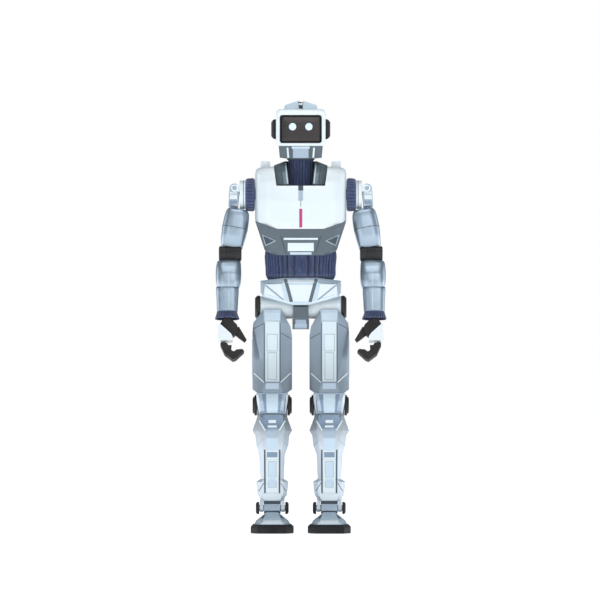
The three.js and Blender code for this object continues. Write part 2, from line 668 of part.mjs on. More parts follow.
// ---- Both sides: the right one is the left one mirrored ----
for (const side of ["left", "right"]) {
  const half = new THREE.Group();
  half.scale.x = side === "left" ? 1 : -1;
  robot.add(half);

  addPiece(half, side + "_ear_pad", earPad(), "black");
  addPiece(half, side + "_shoulder_sleeve", shoulderSleeve(), "navy");

  const lean = new THREE.Group();
  lean.position.z = SHOULDER_Z;
  lean.rotation.x = -ARM_LEAN;
  half.add(lean);
  const arm = new THREE.Group();
  arm.position.z = -SHOULDER_Z;
  lean.add(arm);
  const upperArm = new THREE.Group();
  upperArm.position.set(ELBOW_X, 0, ELBOW_Z);
  upperArm.rotation.y = -UPPER_ARM_TILT;
  arm.add(upperArm);

  addPiece(arm, side + "_shoulder_ring", shoulderRing(), "white");
  addPiece(arm, side + "_shoulder_cup", shoulderCup(), "silver");
  addPiece(upperArm, side + "_upper_arm_shell", upperArmShell(), "silver");
  addPiece(arm, side + "_elbow_ring", elbowRing(), "black");
  addPiece(arm, side + "_forearm_shell", forearmShell(), "silver");
  addPiece(arm, side + "_wrist_section", wristSection(), "navy");
  addPiece(arm, side + "_hand_shell", cut(handShell(), palmSlot()), "white");
  addPiece(arm, side + "_thumb", thumb(), "black");
  addPiece(arm, side + "_fingers", fingers(), "black");

  const hip = [0, 0, HIP_PITCH_Z];
  const barrel = rod("x", hip, HIP_BARREL_RADIUS, HIP_BARREL_INNER_X, HIP_BARREL_OUTER_X, LARGE_SIDES);
  addPiece(half, side + "_hip_actuator", barrel, "white");
  addPiece(half, side + "_hip_cap", rod("x", hip, 46, 168 + GAP, 183, LARGE_SIDES), "black");
  addPiece(half, side + "_hip_bracket", hipBracket(), "steel");
  addPiece(half, side + "_thigh_shell", thighShell(), "silver");
  addPiece(half, side + "_knee_cap", kneeCap(), "silver");
  addPiece(half, side + "_knee_axle", kneeAxle(), "black");
  addPiece(half, side + "_shin_shell", shinShell(), "silver");
  addPiece(half, side + "_ankle_block", ankleBlock(), "grey");
  addPiece(half, side + "_foot_cover", footCover(), "silver");
  addPiece(half, side + "_foot_sole", footSole(), "rubber");
}

export default robot;
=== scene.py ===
"""Looks of the humanoid robot: shells, fabric sleeves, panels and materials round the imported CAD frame."""
import json
import math
import random

import bpy
import bmesh
from mathutils import Matrix, Vector, noise
from mathutils.bvhtree import BVHTree


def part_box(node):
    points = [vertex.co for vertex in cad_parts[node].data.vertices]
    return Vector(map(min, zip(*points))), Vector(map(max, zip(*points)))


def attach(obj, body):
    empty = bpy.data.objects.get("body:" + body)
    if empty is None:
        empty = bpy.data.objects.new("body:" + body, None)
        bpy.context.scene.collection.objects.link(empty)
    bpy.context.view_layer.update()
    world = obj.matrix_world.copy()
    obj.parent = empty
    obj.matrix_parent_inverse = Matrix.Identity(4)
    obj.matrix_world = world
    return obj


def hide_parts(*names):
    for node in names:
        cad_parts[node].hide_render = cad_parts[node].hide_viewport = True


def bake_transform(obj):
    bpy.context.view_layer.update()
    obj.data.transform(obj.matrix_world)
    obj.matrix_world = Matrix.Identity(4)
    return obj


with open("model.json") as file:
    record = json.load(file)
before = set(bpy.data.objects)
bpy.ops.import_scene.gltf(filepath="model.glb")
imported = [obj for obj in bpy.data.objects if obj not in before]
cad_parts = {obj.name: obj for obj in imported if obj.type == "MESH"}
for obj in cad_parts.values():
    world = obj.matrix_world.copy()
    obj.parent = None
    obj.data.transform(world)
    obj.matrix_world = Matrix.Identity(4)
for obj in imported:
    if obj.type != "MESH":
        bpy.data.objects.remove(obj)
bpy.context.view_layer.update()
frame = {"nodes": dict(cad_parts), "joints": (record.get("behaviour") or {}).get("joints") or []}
NODES = frame["nodes"]
JOINTS = {j["name"]: j for j in frame["joints"]}
MM = 0.001
SIDES = {"left": 1, "right": -1}


def joint_at(name):
    return Vector(JOINTS[name]["pos_m"])


def move(x, y, z):
    return Matrix.Translation((x, y, z))


# ---- Drawing frames: metres, but shapes below are in millimetres. The robot faces -Y. ----
MID_Y = joint_at("waist_yaw").y
ROBOT = move(0, MID_Y, 0)
FOREARM_UP = Vector(JOINTS["left_wrist_yaw"]["axis"])
SHOULDER_Z = joint_at("left_shoulder_pitch").z
ARM_LEAN = -math.atan2(FOREARM_UP.y, FOREARM_UP.z)
ARM = ROBOT @ move(0, 0, SHOULDER_Z) @ Matrix.Rotation(ARM_LEAN, 4, "X") @ move(0, 0, -SHOULDER_Z)
ELBOW = ARM.inverted() @ joint_at("left_elbow")
UPPER_ARM_TILT = math.asin(JOINTS["left_arm_yaw"]["axis"][0])
UPPER_ARM = ARM @ move(*ELBOW) @ Matrix.Rotation(UPPER_ARM_TILT, 4, "Y")
LEG_X = joint_at("left_knee").x / MM
KNEE_Z = joint_at("left_knee").z / MM


# ---- Camera, lights and floor ----
def look_at(obj, target):
    obj.rotation_euler = (Vector(target) - obj.location).to_track_quat("-Z", "Y").to_euler()


def add_camera():
    picture_height = 2.4  # metres of the scene in a square picture
    distance = 48.0
    height = 0.932
    aside = -0.003
    data = bpy.data.cameras.new("camera")
    data.sensor_width = 36
    data.lens = data.sensor_width * distance / picture_height
    camera = bpy.data.objects.new("camera", data)
    camera.location = (aside, MID_Y - distance, height)
    bpy.context.scene.collection.objects.link(camera)
    look_at(camera, (aside, MID_Y, height))
    bpy.context.scene.camera = camera


def add_light(name, place, size, power, colour=(1.0, 1.0, 1.0)):
    data = bpy.data.lights.new(name, "AREA")
    data.shape = "RECTANGLE"
    data.size, data.size_y = size
    data.energy = power
    data.color = colour
    light = bpy.data.objects.new(name, data)
    light.location = place
    bpy.context.scene.collection.objects.link(light)
    look_at(light, (0, 0, 1.0))


def add_studio():
    cool = (0.90, 0.96, 1.0)
    add_light("key", (0.9, -5.6, 3.4), (3.2, 3.2), 62)
    add_light("top", (0, -0.9, 4.4), (2.6, 2.6), 42)
    for side, s in SIDES.items():
        add_light(side + "_rim", (s * 3.2, 0.9, 1.3), (2.2, 3.0), 26, cool)
        add_light(side + "_strip", (s * 1.9, -3.4, 1.3), (0.5, 3.2), 11, cool)
    add_sky()
    bpy.context.scene.view_settings.view_transform = "Standard"


def add_sky():
    """A white surround that lights the robot only dimly, so that the lamps shape it."""
    world = bpy.data.worlds.new("world")
    world.use_nodes = True
    tree = world.node_tree
    seen = tree.nodes["Background"]
    seen.inputs["Color"].default_value = (1, 1, 1, 1)
    lit = tree.nodes.new("ShaderNodeBackground")
    lit.inputs["Color"].default_value = (0.80, 0.90, 1.0, 1)
    lit.inputs["Strength"].default_value = 0.2
    rays = tree.nodes.new("ShaderNodeLightPath")
    mix = tree.nodes.new("ShaderNodeMixShader")
    tree.links.new(rays.outputs["Is Camera Ray"], mix.inputs["Fac"])
    tree.links.new(lit.outputs["Background"], mix.inputs[1])
    tree.links.new(seen.outputs["Background"], mix.inputs[2])
    tree.links.new(mix.outputs["Shader"], tree.nodes["World Output"].inputs["Surface"])
    bpy.context.scene.world = world


def add_floor():
    """A round pale floor whose glow is painted light: it brightens to white away from the robot, as lit paper
    does.
    """
    radius = 40.0
    bm = bmesh.new()
    bmesh.ops.create_circle(bm, cap_ends=True, segments=96, radius=radius)
    mesh = bpy.data.meshes.new("studio_floor")
    bm.to_mesh(mesh)
    bm.free()
    floor = bpy.data.objects.new("studio_floor", mesh)
    paper, tree, shader, where = nodes_of("studio_paper")
    base = mixed(tree, noise_of(tree, where, 3), (0.94, 0.95, 0.96), (0.96, 0.97, 0.98))
    tree.links.new(base, shader.inputs["Base Color"])
    tree.links.new(base, shader.inputs["Emission Color"])
    away = tree.nodes.new("ShaderNodeVectorMath")
    away.operation = "LENGTH"
    tree.links.new(where, away.inputs[0])
    glow = spread(tree, away.outputs["Value"], 1.2, 5.0, 0.78, 1.06)
    tree.links.new(glow, shader.inputs["Emission Strength"])
    shader.inputs["Roughness"].default_value = 0.95
    floor.data.materials.append(paper)
    bpy.context.scene.collection.objects.link(floor)


# ---- Materials ----
def nodes_of(name):
    made = bpy.data.materials.new(name)
    made.use_nodes = True
    tree = made.node_tree
    shader = tree.nodes["Principled BSDF"]
    where = tree.nodes.new("ShaderNodeTexCoord").outputs["Object"]
    return made, tree, shader, where


def noise_of(tree, where, scale, detail=3.0, roughness=0.55):
    node = tree.nodes.new("ShaderNodeTexNoise")
    node.inputs["Scale"].default_value = scale
    node.inputs["Detail"].default_value = detail
    node.inputs["Roughness"].default_value = roughness
    tree.links.new(where, node.inputs["Vector"])
    return node.outputs["Fac"]


def spread(tree, value, low, high, out_low, out_high):
    node = tree.nodes.new("ShaderNodeMapRange")
    for socket, number in (("From Min", low), ("From Max", high), ("To Min", out_low), ("To Max", out_high)):
        node.inputs[socket].default_value = number
    tree.links.new(value, node.inputs["Value"])
    return node.outputs["Result"]


def mixed(tree, factor, first, second):
    """A colour between two, either of which is a colour or a socket."""
    node = tree.nodes.new("ShaderNodeMix")
    node.data_type = "RGBA"
    tree.links.new(factor, node.inputs["Factor"])
    for socket, colour in ((node.inputs[6], first), (node.inputs[7], second)):
        if isinstance(colour, bpy.types.NodeSocket):
            tree.links.new(colour, socket)
        else:
            socket.default_value = (*colour, 1)
    return node.outputs[2]


def bumped(tree, shader, height, strength, distance):
    node = tree.nodes.new("ShaderNodeBump")
    node.inputs["Strength"].default_value = strength
    node.inputs["Distance"].default_value = distance
    tree.links.new(height, node.inputs["Height"])
    tree.links.new(node.outputs["Normal"], shader.inputs["Normal"])


def tinted(colour, factor):
    return tuple(min(1.0, c * factor) for c in colour)


def plastic(name, colour, roughness=0.4, metallic=0.0, coat=0.0, mottle=0.05, grain=900, bump=0.05, wear=0.0,
            painted_shade_fade=None):
    """A moulded or painted surface: soft colour drift, fine grain, uneven gloss and paler worn edges.

    Painted shade, given as (height, other height, factor), shades the paint by the factor at the first height
    only.
    """
    made, tree, shader, where = nodes_of(name)
    drift = spread(tree, noise_of(tree, where, 7), 0.3, 0.7, 0, 1)
    base = mixed(tree, drift, tinted(colour, 1 - mottle), tinted(colour, 1 + mottle))
    specks = spread(tree, noise_of(tree, where, 130, 2), 0.62, 0.8, 0, 0.25)
    base = mixed(tree, specks, base, tinted(colour, 1 - 3 * mottle))
    if painted_shade_fade:
        height = tree.nodes.new("ShaderNodeSeparateXYZ")
        tree.links.new(where, height.inputs["Vector"])
        first, other, factor = painted_shade_fade
        ends = (1, 0) if first < other else (0, 1)
        shade = spread(tree, height.outputs["Z"], min(first, other), max(first, other), *ends)
        base = mixed(tree, shade, base, tinted(colour, factor))
    if wear:
        geometry = tree.nodes.new("ShaderNodeNewGeometry")
        edge = spread(tree, geometry.outputs["Pointiness"], 0.53, 0.6, 0, wear)
        base = mixed(tree, edge, base, tinted(colour, 1.35))
    tree.links.new(base, shader.inputs["Base Color"])
    gloss = spread(tree, noise_of(tree, where, 24, 4), 0.3, 0.7, roughness * 0.85, roughness * 1.15)
    tree.links.new(gloss, shader.inputs["Roughness"])
    shader.inputs["Metallic"].default_value = metallic
    shader.inputs["Coat Weight"].default_value = coat
    shader.inputs["Coat Roughness"].default_value = 0.12
    bumped(tree, shader, noise_of(tree, where, grain, 2), bump, 0.0004)
    return made


def brushed(name, colour, roughness=0.35):
    """Machined metal with fine turning marks."""
    made, tree, shader, where = nodes_of(name)
    stretch = tree.nodes.new("ShaderNodeMapping")
    stretch.inputs["Scale"].default_value = (1, 1, 30)
    tree.links.new(where, stretch.inputs["Vector"])
    marks = noise_of(tree, stretch.outputs["Vector"], 60, 4)
    base = mixed(tree, marks, tinted(colour, 0.8), tinted(colour, 1.15))
    tree.links.new(base, shader.inputs["Base Color"])
    gloss = spread(tree, marks, 0.3, 0.7, roughness * 0.8, roughness * 1.3)
    tree.links.new(gloss, shader.inputs["Roughness"])
    shader.inputs["Metallic"].default_value = 0.9
    bumped(tree, shader, marks, 0.12, 0.0005)
    return made


def wave_of(tree, where, direction, scale):
    node = tree.nodes.new("ShaderNodeTexWave")
    node.bands_direction = direction
    node.inputs["Scale"].default_value = scale
    node.inputs["Distortion"].default_value = 0.6
    node.inputs["Detail"].default_value = 1
    tree.links.new(where, node.inputs["Vector"])
    return node.outputs["Fac"]


def fabric(name, dark, pale):
    """Woven polyester: crossing threads, slubs, a dusty sheen, painted highlight on the fold ridges and
    painted shade in the fold valleys.
    """
    made, tree, shader, where = nodes_of(name)
    threads = tree.nodes.new("ShaderNodeMath")
    threads.operation = "MULTIPLY"
    tree.links.new(wave_of(tree, where, "Z", 260), threads.inputs[0])
    tree.links.new(wave_of(tree, where, "X", 260), threads.inputs[1])
    streaks = tree.nodes.new("ShaderNodeMapping")
    streaks.inputs["Scale"].default_value = (1, 1, 0.12)
    tree.links.new(where, streaks.inputs["Vector"])
    slubs = spread(tree, noise_of(tree, streaks.outputs["Vector"], 160, 4), 0.35, 0.7, 0, 1)
    base = mixed(tree, slubs, dark, pale)
    base = mixed(tree, spread(tree, threads.outputs["Value"], 0, 1, 0, 0.35), base, tinted(pale, 1.3))
    # The folds' ridges are painted lighter as a painted highlight, and their valleys darker as painted shade.
    folds = tree.nodes.new("ShaderNodeNewGeometry").outputs["Pointiness"]
    base = mixed(tree, spread(tree, folds, 0.505, 0.56, 0, 0.55), base, tinted(pale, 1.9))
    base = mixed(tree, spread(tree, folds, 0.44, 0.495, 0.85, 0), base, tinted(dark, 0.35))
    tree.links.new(base, shader.inputs["Base Color"])
    shader.inputs["Roughness"].default_value = 0.92
    shader.inputs["Sheen Weight"].default_value = 0.5
    shader.inputs["Sheen Roughness"].default_value = 0.5
    bumped(tree, shader, threads.outputs["Value"], 0.5, 0.0006)
    return made


def glowing(name, colour, strength):
    """A lit disc behind glass, a little dimmer in fine dots."""
    made, tree, shader, where = nodes_of(name)
    dots = tree.nodes.new("ShaderNodeTexVoronoi")
    dots.inputs["Scale"].default_value = 420
    tree.links.new(where, dots.inputs["Vector"])
    shade = spread(tree, dots.outputs["Distance"], 0, 0.6, 0, 0.3)
    base = mixed(tree, shade, colour, tinted(colour, 0.75))
    tree.links.new(base, shader.inputs["Base Color"])
    tree.links.new(base, shader.inputs["Emission Color"])
    shader.inputs["Emission Strength"].default_value = strength
    shader.inputs["Roughness"].default_value = 0.25
    return made


WHITE = plastic("white_shell_paint", (0.80, 0.88, 0.91), 0.32, coat=0.35, mottle=0.012, bump=0.03, wear=0.3)
SILVER = plastic("silver_blue_paint", (0.38, 0.47, 0.56), 0.36, 0.75, 0.1, 0.035, 1400, 0.04, 0.3)
PALE = plastic("pale_panel_paint", (0.56, 0.68, 0.77), 0.4, 0.4, 0.15, 0.025, 1200, 0.04, 0.3)
# The thigh and strip paints have painted shade, darker towards their lower ends; the shin paint has painted
# shade darker towards its top.
THIGH = plastic("thigh_paint", (0.42, 0.51, 0.60), 0.34, 0.7, 0.1, 0.03, 1400, 0.04, 0.4, (0.60, 0.86, 0.5))
STRIP = plastic("strip_paint", (0.76, 0.87, 0.92), 0.34, 0.1, 0.2, 0.015, 1400, 0.03, 0.3, (0.60, 0.76, 0.68))
SHIN = plastic("shin_paint", (0.66, 0.73, 0.80), 0.34, 0.4, 0.15, 0.025, 1400, 0.04, 0.3, (0.47, 0.33, 0.42))
CYAN = plastic("pale_blue_paint", (0.60, 0.74, 0.86), 0.36, 0.1, 0.2, 0.02, 1400, 0.03, 0.3)
# A darker copy of the silver-blue paint: painted shade in the knee grooves, the shin's throat and the shin
# recess; also used for the shoulder cup's band.
SHADED = plastic("shaded_blue_paint", (0.22, 0.30, 0.40), 0.36, 0.6, 0.1, 0.035, 1400, 0.04, 0.3)
GREY = plastic("grey_cover_paint", (0.105, 0.135, 0.16), 0.42, 0.2, 0.1, 0.05, 1100, 0.06, 0.35)
COLLAR = plastic("collar_paint", (0.15, 0.185, 0.21), 0.38, 0.2, 0.1, 0.05, 1100, 0.06, 0.35)
SLATE = plastic("slate_recess", (0.06, 0.08, 0.105), 0.55, 0.1, 0, 0.06, 900, 0.08)
BLACK = plastic("black_moulding", (0.010, 0.009, 0.009), 0.5, 0, 0, 0.1, 700, 0.1, 0.3)
GLOVE = plastic("black_grip_skin", (0.014, 0.012, 0.012), 0.65, 0, 0, 0.12, 500, 0.25, 0.2)
RUBBER = plastic("sole_rubber", (0.010, 0.010, 0.011), 0.8, 0, 0, 0.15, 320, 0.35)
SCREEN = plastic("display_glass", (0.026, 0.019, 0.018), 0.3, 0, 0.3, 0.1, 300, 0.0)
ACCENT = plastic("accent_pink", (0.52, 0.035, 0.17), 0.35, 0, 0.2, 0.04, 1200, 0.05)
STEEL = brushed("machined_metal", (0.42, 0.45, 0.48))
NAVY = fabric("navy_weave", (0.012, 0.020, 0.056), (0.050, 0.072, 0.165))
EYE = glowing("eye_light", (0.70, 0.85, 0.96), 0.25)


# ---- Shapes: (points, faces) in millimetres ----
def prism(outline, y0, y1):
    """An X-Z outline from y0 to y1."""
    n = len(outline)
    points = [(x, y0, z) for x, z in outline] + [(x, y1, z) for x, z in outline]
    faces = [tuple(range(n)), tuple(reversed(range(n, 2 * n)))]
    faces += [(i, i + n, (i + 1) % n + n, (i + 1) % n) for i in range(n)]
    return points, faces


def block(x0, x1, y0, y1, z0, z1):
    return prism([(x0, z0), (x1, z0), (x1, z1), (x0, z1)], y0, y1)


def skin(rings, caps=True):
    """A surface through rings of equal counts."""
    n = len(rings[0])
    points = [p for ring in rings for p in ring]
    faces = [
        (r * n + i, r * n + (i + 1) % n, (r + 1) * n + (i + 1) % n, (r + 1) * n + i)
        for r in range(len(rings) - 1) for i in range(n)
    ]
    if caps:
        faces += [tuple(reversed(range(n))), tuple(range((len(rings) - 1) * n, len(rings) * n))]
    return points, faces


def oval(z, x0, x1, y0, y1, power=2.6, count=64):
    """A superellipse at height z: power 2 is an ellipse, and a large power is nearly a rectangle."""
    ring = []
    for i in range(count):
        a = 2 * math.pi * (i + 0.5) / count
        c, s = math.cos(a), math.sin(a)
        dx = math.copysign(abs(c) ** (2 / power), c)
        dy = math.copysign(abs(s) ** (2 / power), s)
        ring.append(((x0 + x1) / 2 + dx * (x1 - x0) / 2, (y0 + y1) / 2 + dy * (y1 - y0) / 2, z))
    return ring


def between(table, z):
    """A row of the table at height z; each row starts with its height."""
    rows = sorted(table)
    z = min(max(z, rows[0][0]), rows[-1][0])
    for low, high in zip(rows, rows[1:]):
        if z <= high[0]:
            t = (z - low[0]) / (high[0] - low[0])
            t = t * t * (3 - 2 * t) * 0.35 + t * 0.65
            return [a + (b - a) * t for a, b in zip(low[1:], high[1:])]
    return list(rows[-1][1:])


def turned(axis, centre, profile, count=48):
    """A profile of (distance along the axis, radius) turned about an axis through centre."""
    rings = []
    for along, radius in profile:
        ring = []
        for i in range(count):
            a = 2 * math.pi * i / count
            u, v = radius * math.cos(a), radius * math.sin(a)
            offset = {"x": (along, u, v), "y": (u, along, v), "z": (u, v, along)}[axis]
            ring.append(tuple(c + o for c, o in zip(centre, offset)))
        rings.append(ring)
    return skin(rings)


def rounded(half_x, z0, z1, radius, y, steps=6, chamfer=0):
    """A rounded rectangle at depth y, as an X-Z ring; a chamfer cuts its upper corners instead."""
    ring = []
    corners = ((half_x, z1, 0), (-half_x, z1, 1), (-half_x, z0, 2), (half_x, z0, 3))
    for cx, cz, quarter in corners:
        r = chamfer if chamfer and quarter < 2 else radius
        for i in range(steps + 1):
            a = math.pi / 2 * (quarter + i / steps)
            px = cx - math.copysign(r, cx) + r * math.cos(a)
            pz = cz - (r if quarter < 2 else -r) + r * math.sin(a)
            ring.append((px, y, pz))
    return ring


def joined(*shapes):
    points, faces = [], []
    for more_points, more_faces in shapes:
        base = len(points)
        points += more_points
        faces += [tuple(i + base for i in face) for face in more_faces]
    return points, faces


# ---- Pieces ----
def settle(obj):
    """Applies the modifiers."""
    graph = bpy.context.evaluated_depsgraph_get()
    mesh = bpy.data.meshes.new_from_object(obj.evaluated_get(graph))
    obj.modifiers.clear()
    obj.data = mesh


def solid(name, shape, place=ROBOT, side=1):
    points, faces = shape
    bm = bmesh.new()
    for point in points:
        spot = place @ (Vector(point) * MM)
        bm.verts.new((spot.x * side, spot.y, spot.z))
    bm.verts.ensure_lookup_table()
    for face in faces:
        bm.faces.new([bm.verts[i] for i in face])
    bmesh.ops.recalc_face_normals(bm, faces=bm.faces)
    mesh = bpy.data.meshes.new(name)
    bm.to_mesh(mesh)
    bm.free()
    obj = bpy.data.objects.new(name, mesh)
    bpy.context.scene.collection.objects.link(obj)
    return obj


def carve(obj, operation, *shapes, place=ROBOT, side=1):
    for shape in shapes:
        cutter = solid("cutter", shape, place, side)
        step = obj.modifiers.new("carve", "BOOLEAN")
        step.operation = operation
        step.solver = "EXACT"
        step.object = cutter
        settle(obj)
        bpy.data.objects.remove(cutter)


def soften(obj, width, angle=28, segments=2):
    """Rounds the sharp edges and shades the flats flat."""
    for polygon in obj.data.polygons:
        polygon.use_smooth = True
    if width:
        bevel = obj.modifiers.new("edges", "BEVEL")
        bevel.width = width * MM
        bevel.segments = segments
        bevel.limit_method = "ANGLE"
        bevel.angle_limit = math.radians(angle)
        normals = obj.modifiers.new("normals", "WEIGHTED_NORMAL")
        normals.keep_sharp = True


def dress(obj, material, body, replaces=()):
    obj.data.materials.clear()
    obj.data.materials.append(material)
    if body:
        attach(obj, body)
    if replaces:
        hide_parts(*replaces)
    return obj


def piece(name, shape, material, body, place=ROBOT, side=1, edge=1.0, angle=28, replaces=()):
    obj = solid(name, shape, place, side)
    soften(obj, edge, angle)
    return dress(obj, material, body, replaces)


def surface_of(obj, *plugs):
    """The outside of a piece as a tree for rays, with plugs (shapes of the robot's frame) over its holes."""
    graph = bpy.context.evaluated_depsgraph_get()
    mesh = obj.evaluated_get(graph).to_mesh()
    bm = bmesh.new()
    bm.from_mesh(mesh)
    bm.transform(obj.matrix_world)
    for points, faces in plugs:
        verts = [bm.verts.new(ROBOT @ (Vector(point) * MM)) for point in points]
        for face in faces:
            bm.faces.new([verts[i] for i in face])
    tree = BVHTree.FromBMesh(bm)
    bm.free()
    obj.evaluated_get(graph).to_mesh_clear()
    return tree


FRONT, BACK, OUTER = (0, 1, 0), (0, -1, 0), (-1, 0, 0)  # the way a ray looks


def landing(tree, u, v, look, place):
    """Where a ray along a drawing axis lands, and the face normal there. u and v are across and up."""
    far = 600
    along = Vector(look)
    start = Vector((u, 0, v)) if look[1] else Vector((0, u, v))
    start -= along * far
    if look[0]:
        start.x += LEG_X
    origin = place @ (start * MM)
    heading = (place.to_3x3() @ along).normalized()
    spot, normal, _, _ = tree.ray_cast(origin, heading)
    return spot, normal, heading


def laid(name, outline, tree, material, body, look=FRONT, place=ROBOT, side=1,
         rise=0.8, depth=3.0, cuts=5, edge=0.5):
    """A thin plate that follows the surface under its outline. The tree is the left or middle piece's."""
    bm = bmesh.new()
    corners = [bm.verts.new((u, 0, v)) for u, v in outline]
    bm.faces.new(corners)
    bmesh.ops.triangulate(bm, faces=bm.faces[:])
    if cuts:
        bmesh.ops.subdivide_edges(bm, edges=bm.edges[:], cuts=cuts, use_grid_fill=True)
    missed = []
    for vert in bm.verts:
        spot, _, heading = landing(tree, vert.co.x, vert.co.z, look, place)
        if spot is None:
            missed.append(vert)
            continue
        spot = spot - heading * rise * MM
        vert.co = (spot.x * side, spot.y, spot.z)
    bmesh.ops.delete(bm, geom=missed, context="VERTS")
    heading = (place.to_3x3() @ Vector(look)).normalized()
    heading.x *= side
    bm.normal_update()
    if sum((f.normal * f.calc_area() for f in bm.faces), Vector()).dot(heading) > 0:
        bmesh.ops.reverse_faces(bm, faces=bm.faces[:])
    mesh = bpy.data.meshes.new(name)
    bm.to_mesh(mesh)
    bm.free()
    obj = bpy.data.objects.new(name, mesh)
    bpy.context.scene.collection.objects.link(obj)
    thick = obj.modifiers.new("thickness", "SOLIDIFY")
    thick.thickness = depth * MM
    thick.offset = -1
    settle(obj)
    soften(obj, edge, 50)
    return dress(obj, material, body)


def line(a, b, width):
    """The outline of a straight strip from a to b."""
    (ax, az), (bx, bz) = a, b
    length = math.hypot(bx - ax, bz - az)
    nx, nz = -(bz - az) / length * width / 2, (bx - ax) / length * width / 2
    return [(ax + nx, az + nz), (ax - nx, az - nz), (bx - nx, bz - nz), (bx + nx, bz + nz)]


def flat_strip(half, low, high):
    """A rectangle about the middle of the robot."""
    return [(-half, low), (half, low), (half, high), (-half, high)]


def screw(name, u, v, tree, body, look=FRONT, place=ROBOT, side=1, radius=3.2):
    """A socket-head screw standing a little out of the surface."""
    spot, normal, heading = landing(tree, u, v, look, place)
    if spot is None:
        return
    if normal.dot(heading) > 0:
        normal = -normal
    turn = normal.to_track_quat("Z", "Y").to_matrix().to_4x4()
    seat = Matrix.Translation(spot) @ turn
    head = [(-2, radius), (0.5, radius), (1.0, radius * 0.8), (1.0, radius * 0.5), (-0.6, radius * 0.45)]
    piece(name, turned("z", (0, 0, 0), head, 18), STEEL, body, seat, side, edge=0)


def mirrored(outline):
    return [(-u, v) for u, v in outline]


# ---- CAD nodes that stay as they are, with rounded edges ----
NODE_FINISH = {  # paint, and the width of its rounded edges
    "pelvis_frame": (GREY, 2), "pelvis_front_cover": (PALE, 2.2), "pelvis_rear_cover": (SILVER, 2.2),
    "waist_column": (STEEL, 1), "torso_frame": (WHITE, 4), "battery_pack": (BLACK, 3),
    "chest_lower_cover": (GREY, 2), "collar": (COLLAR, 2), "neck_column": (STEEL, 1),
    "jaw_cover": (GREY, 2.5), "head_shell": (WHITE, 5), "crown_cover": (PALE, 2), "ear_pad": (BLACK, 3),
    "shoulder_ring": (WHITE, 3), "shoulder_cup": (SILVER, 3), "elbow_ring": (BLACK, 3),
    "hand_shell": (WHITE, 3), "thumb": (GLOVE, 4), "fingers": (GLOVE, 3),
    "hip_actuator": (WHITE, 3), "hip_cap": (BLACK, 4), "hip_bracket": (STEEL, 1.5),
    "thigh_shell": (THIGH, 2.5), "knee_cap": (SILVER, 2.5), "knee_axle": (BLACK, 2.5),
    "shin_shell": (SHIN, 2.5), "ankle_block": (GREY, 1.5), "foot_cover": (PALE, 3), "foot_sole": (RUBBER, 3),
}


def finish_nodes(names):
    for name in names:
        kind = name.removeprefix("left_").removeprefix("right_")
        material, width = NODE_FINISH[kind]
        obj = NODES[name]
        weld = obj.modifiers.new("weld", "WELD")
        weld.merge_threshold = 0.02 * MM
        flat = obj.modifiers.new("flats", "DECIMATE")
        flat.decimate_type = "DISSOLVE"
        flat.angle_limit = math.radians(1)
        soften(obj, width, 20)
        obj.data.materials.clear()
        obj.data.materials.append(material)


# ---- Torso ----
TORSO = [  # height, half width, front, back
    (1180, 168, -106, 94), (1247, 182, -117, 104), (1330, 182, -124, 112), (1400, 182, -118, 109),
    (1436, 181.5, -105, 101), (1450, 180, -94, 95), (1458, 175, -85, 90), (1463, 150, -76, 84),
    (1466, 108, -69, 80),
]


def add_chest():
    rings = []
    levels = 44
    for i in range(levels + 1):
        z = TORSO[0][0] + (TORSO[-1][0] - TORSO[0][0]) * i / levels
        half, front, back = between(TORSO, z)
        rings.append(oval(z, -half, half, front, back, 4.4, 120))
    chest = solid("chest_shell", skin(rings))
    region = [
        (-300, 1247), (-182, 1247), (-93, 1216), (93, 1216), (182, 1247), (300, 1247),
        (300, 1600), (-300, 1600),
    ]
    carve(chest, "INTERSECT", prism(region, -200, 200))
    seat = skin([
        oval(1388, -98, 98, -160, 62, 7, 40), oval(1476, -109, 109, -160, 78, 7, 40),
    ])
    lugs = [block(s * 141.5 - 22, s * 141.5 + 22, -16.5, 16.5, 1440, 1500) for s in SIDES.values()]
    bores = turned("x", (0, 0, SHOULDER_Z / MM), [(-220, 33), (220, 33)])
    carve(chest, "DIFFERENCE", seat, *lugs, bores)
    soften(chest, 2.5, 38, 3)
    return dress(chest, WHITE, "torso", ["chest_front_shell", "chest_back_shell"])


def add_chest_details(chest):
    tree = surface_of(chest)
    laid("sternum_block", flat_strip(10, 1369, 1388), tree, SLATE, "torso", rise=1.2)
    laid("sternum_bar", flat_strip(9, 1328, 1369), tree, SILVER, "torso", rise=1.6)
    laid("sternum_seam", line((0, 1304), (0, 1328), 2.4), tree, SLATE, "torso", rise=0.3)
    laid("accent_stripe", flat_strip(6, 1206, 1296), tree, ACCENT, "torso", rise=0.5)
    for u in (-150, 150):
        for v in (1262, 1420):
            screw(f"back_screw_{'a' if u < 0 else 'b'}_{v}", u * 0.9, v, tree, "torso", BACK)
    back = [
        (-78, 1240), (78, 1240), (92, 1262), (92, 1368), (70, 1396), (-70, 1396), (-92, 1368), (-92, 1262),
    ]
    laid("back_hatch", back, tree, PALE, "torso", BACK, rise=2.0, depth=4, cuts=7)
    for k in range(5):
        z = 1270 + 14 * k
        laid(f"back_vent_{k}", flat_strip(40, z, z + 5), tree, SLATE, "torso", BACK, rise=2.6)


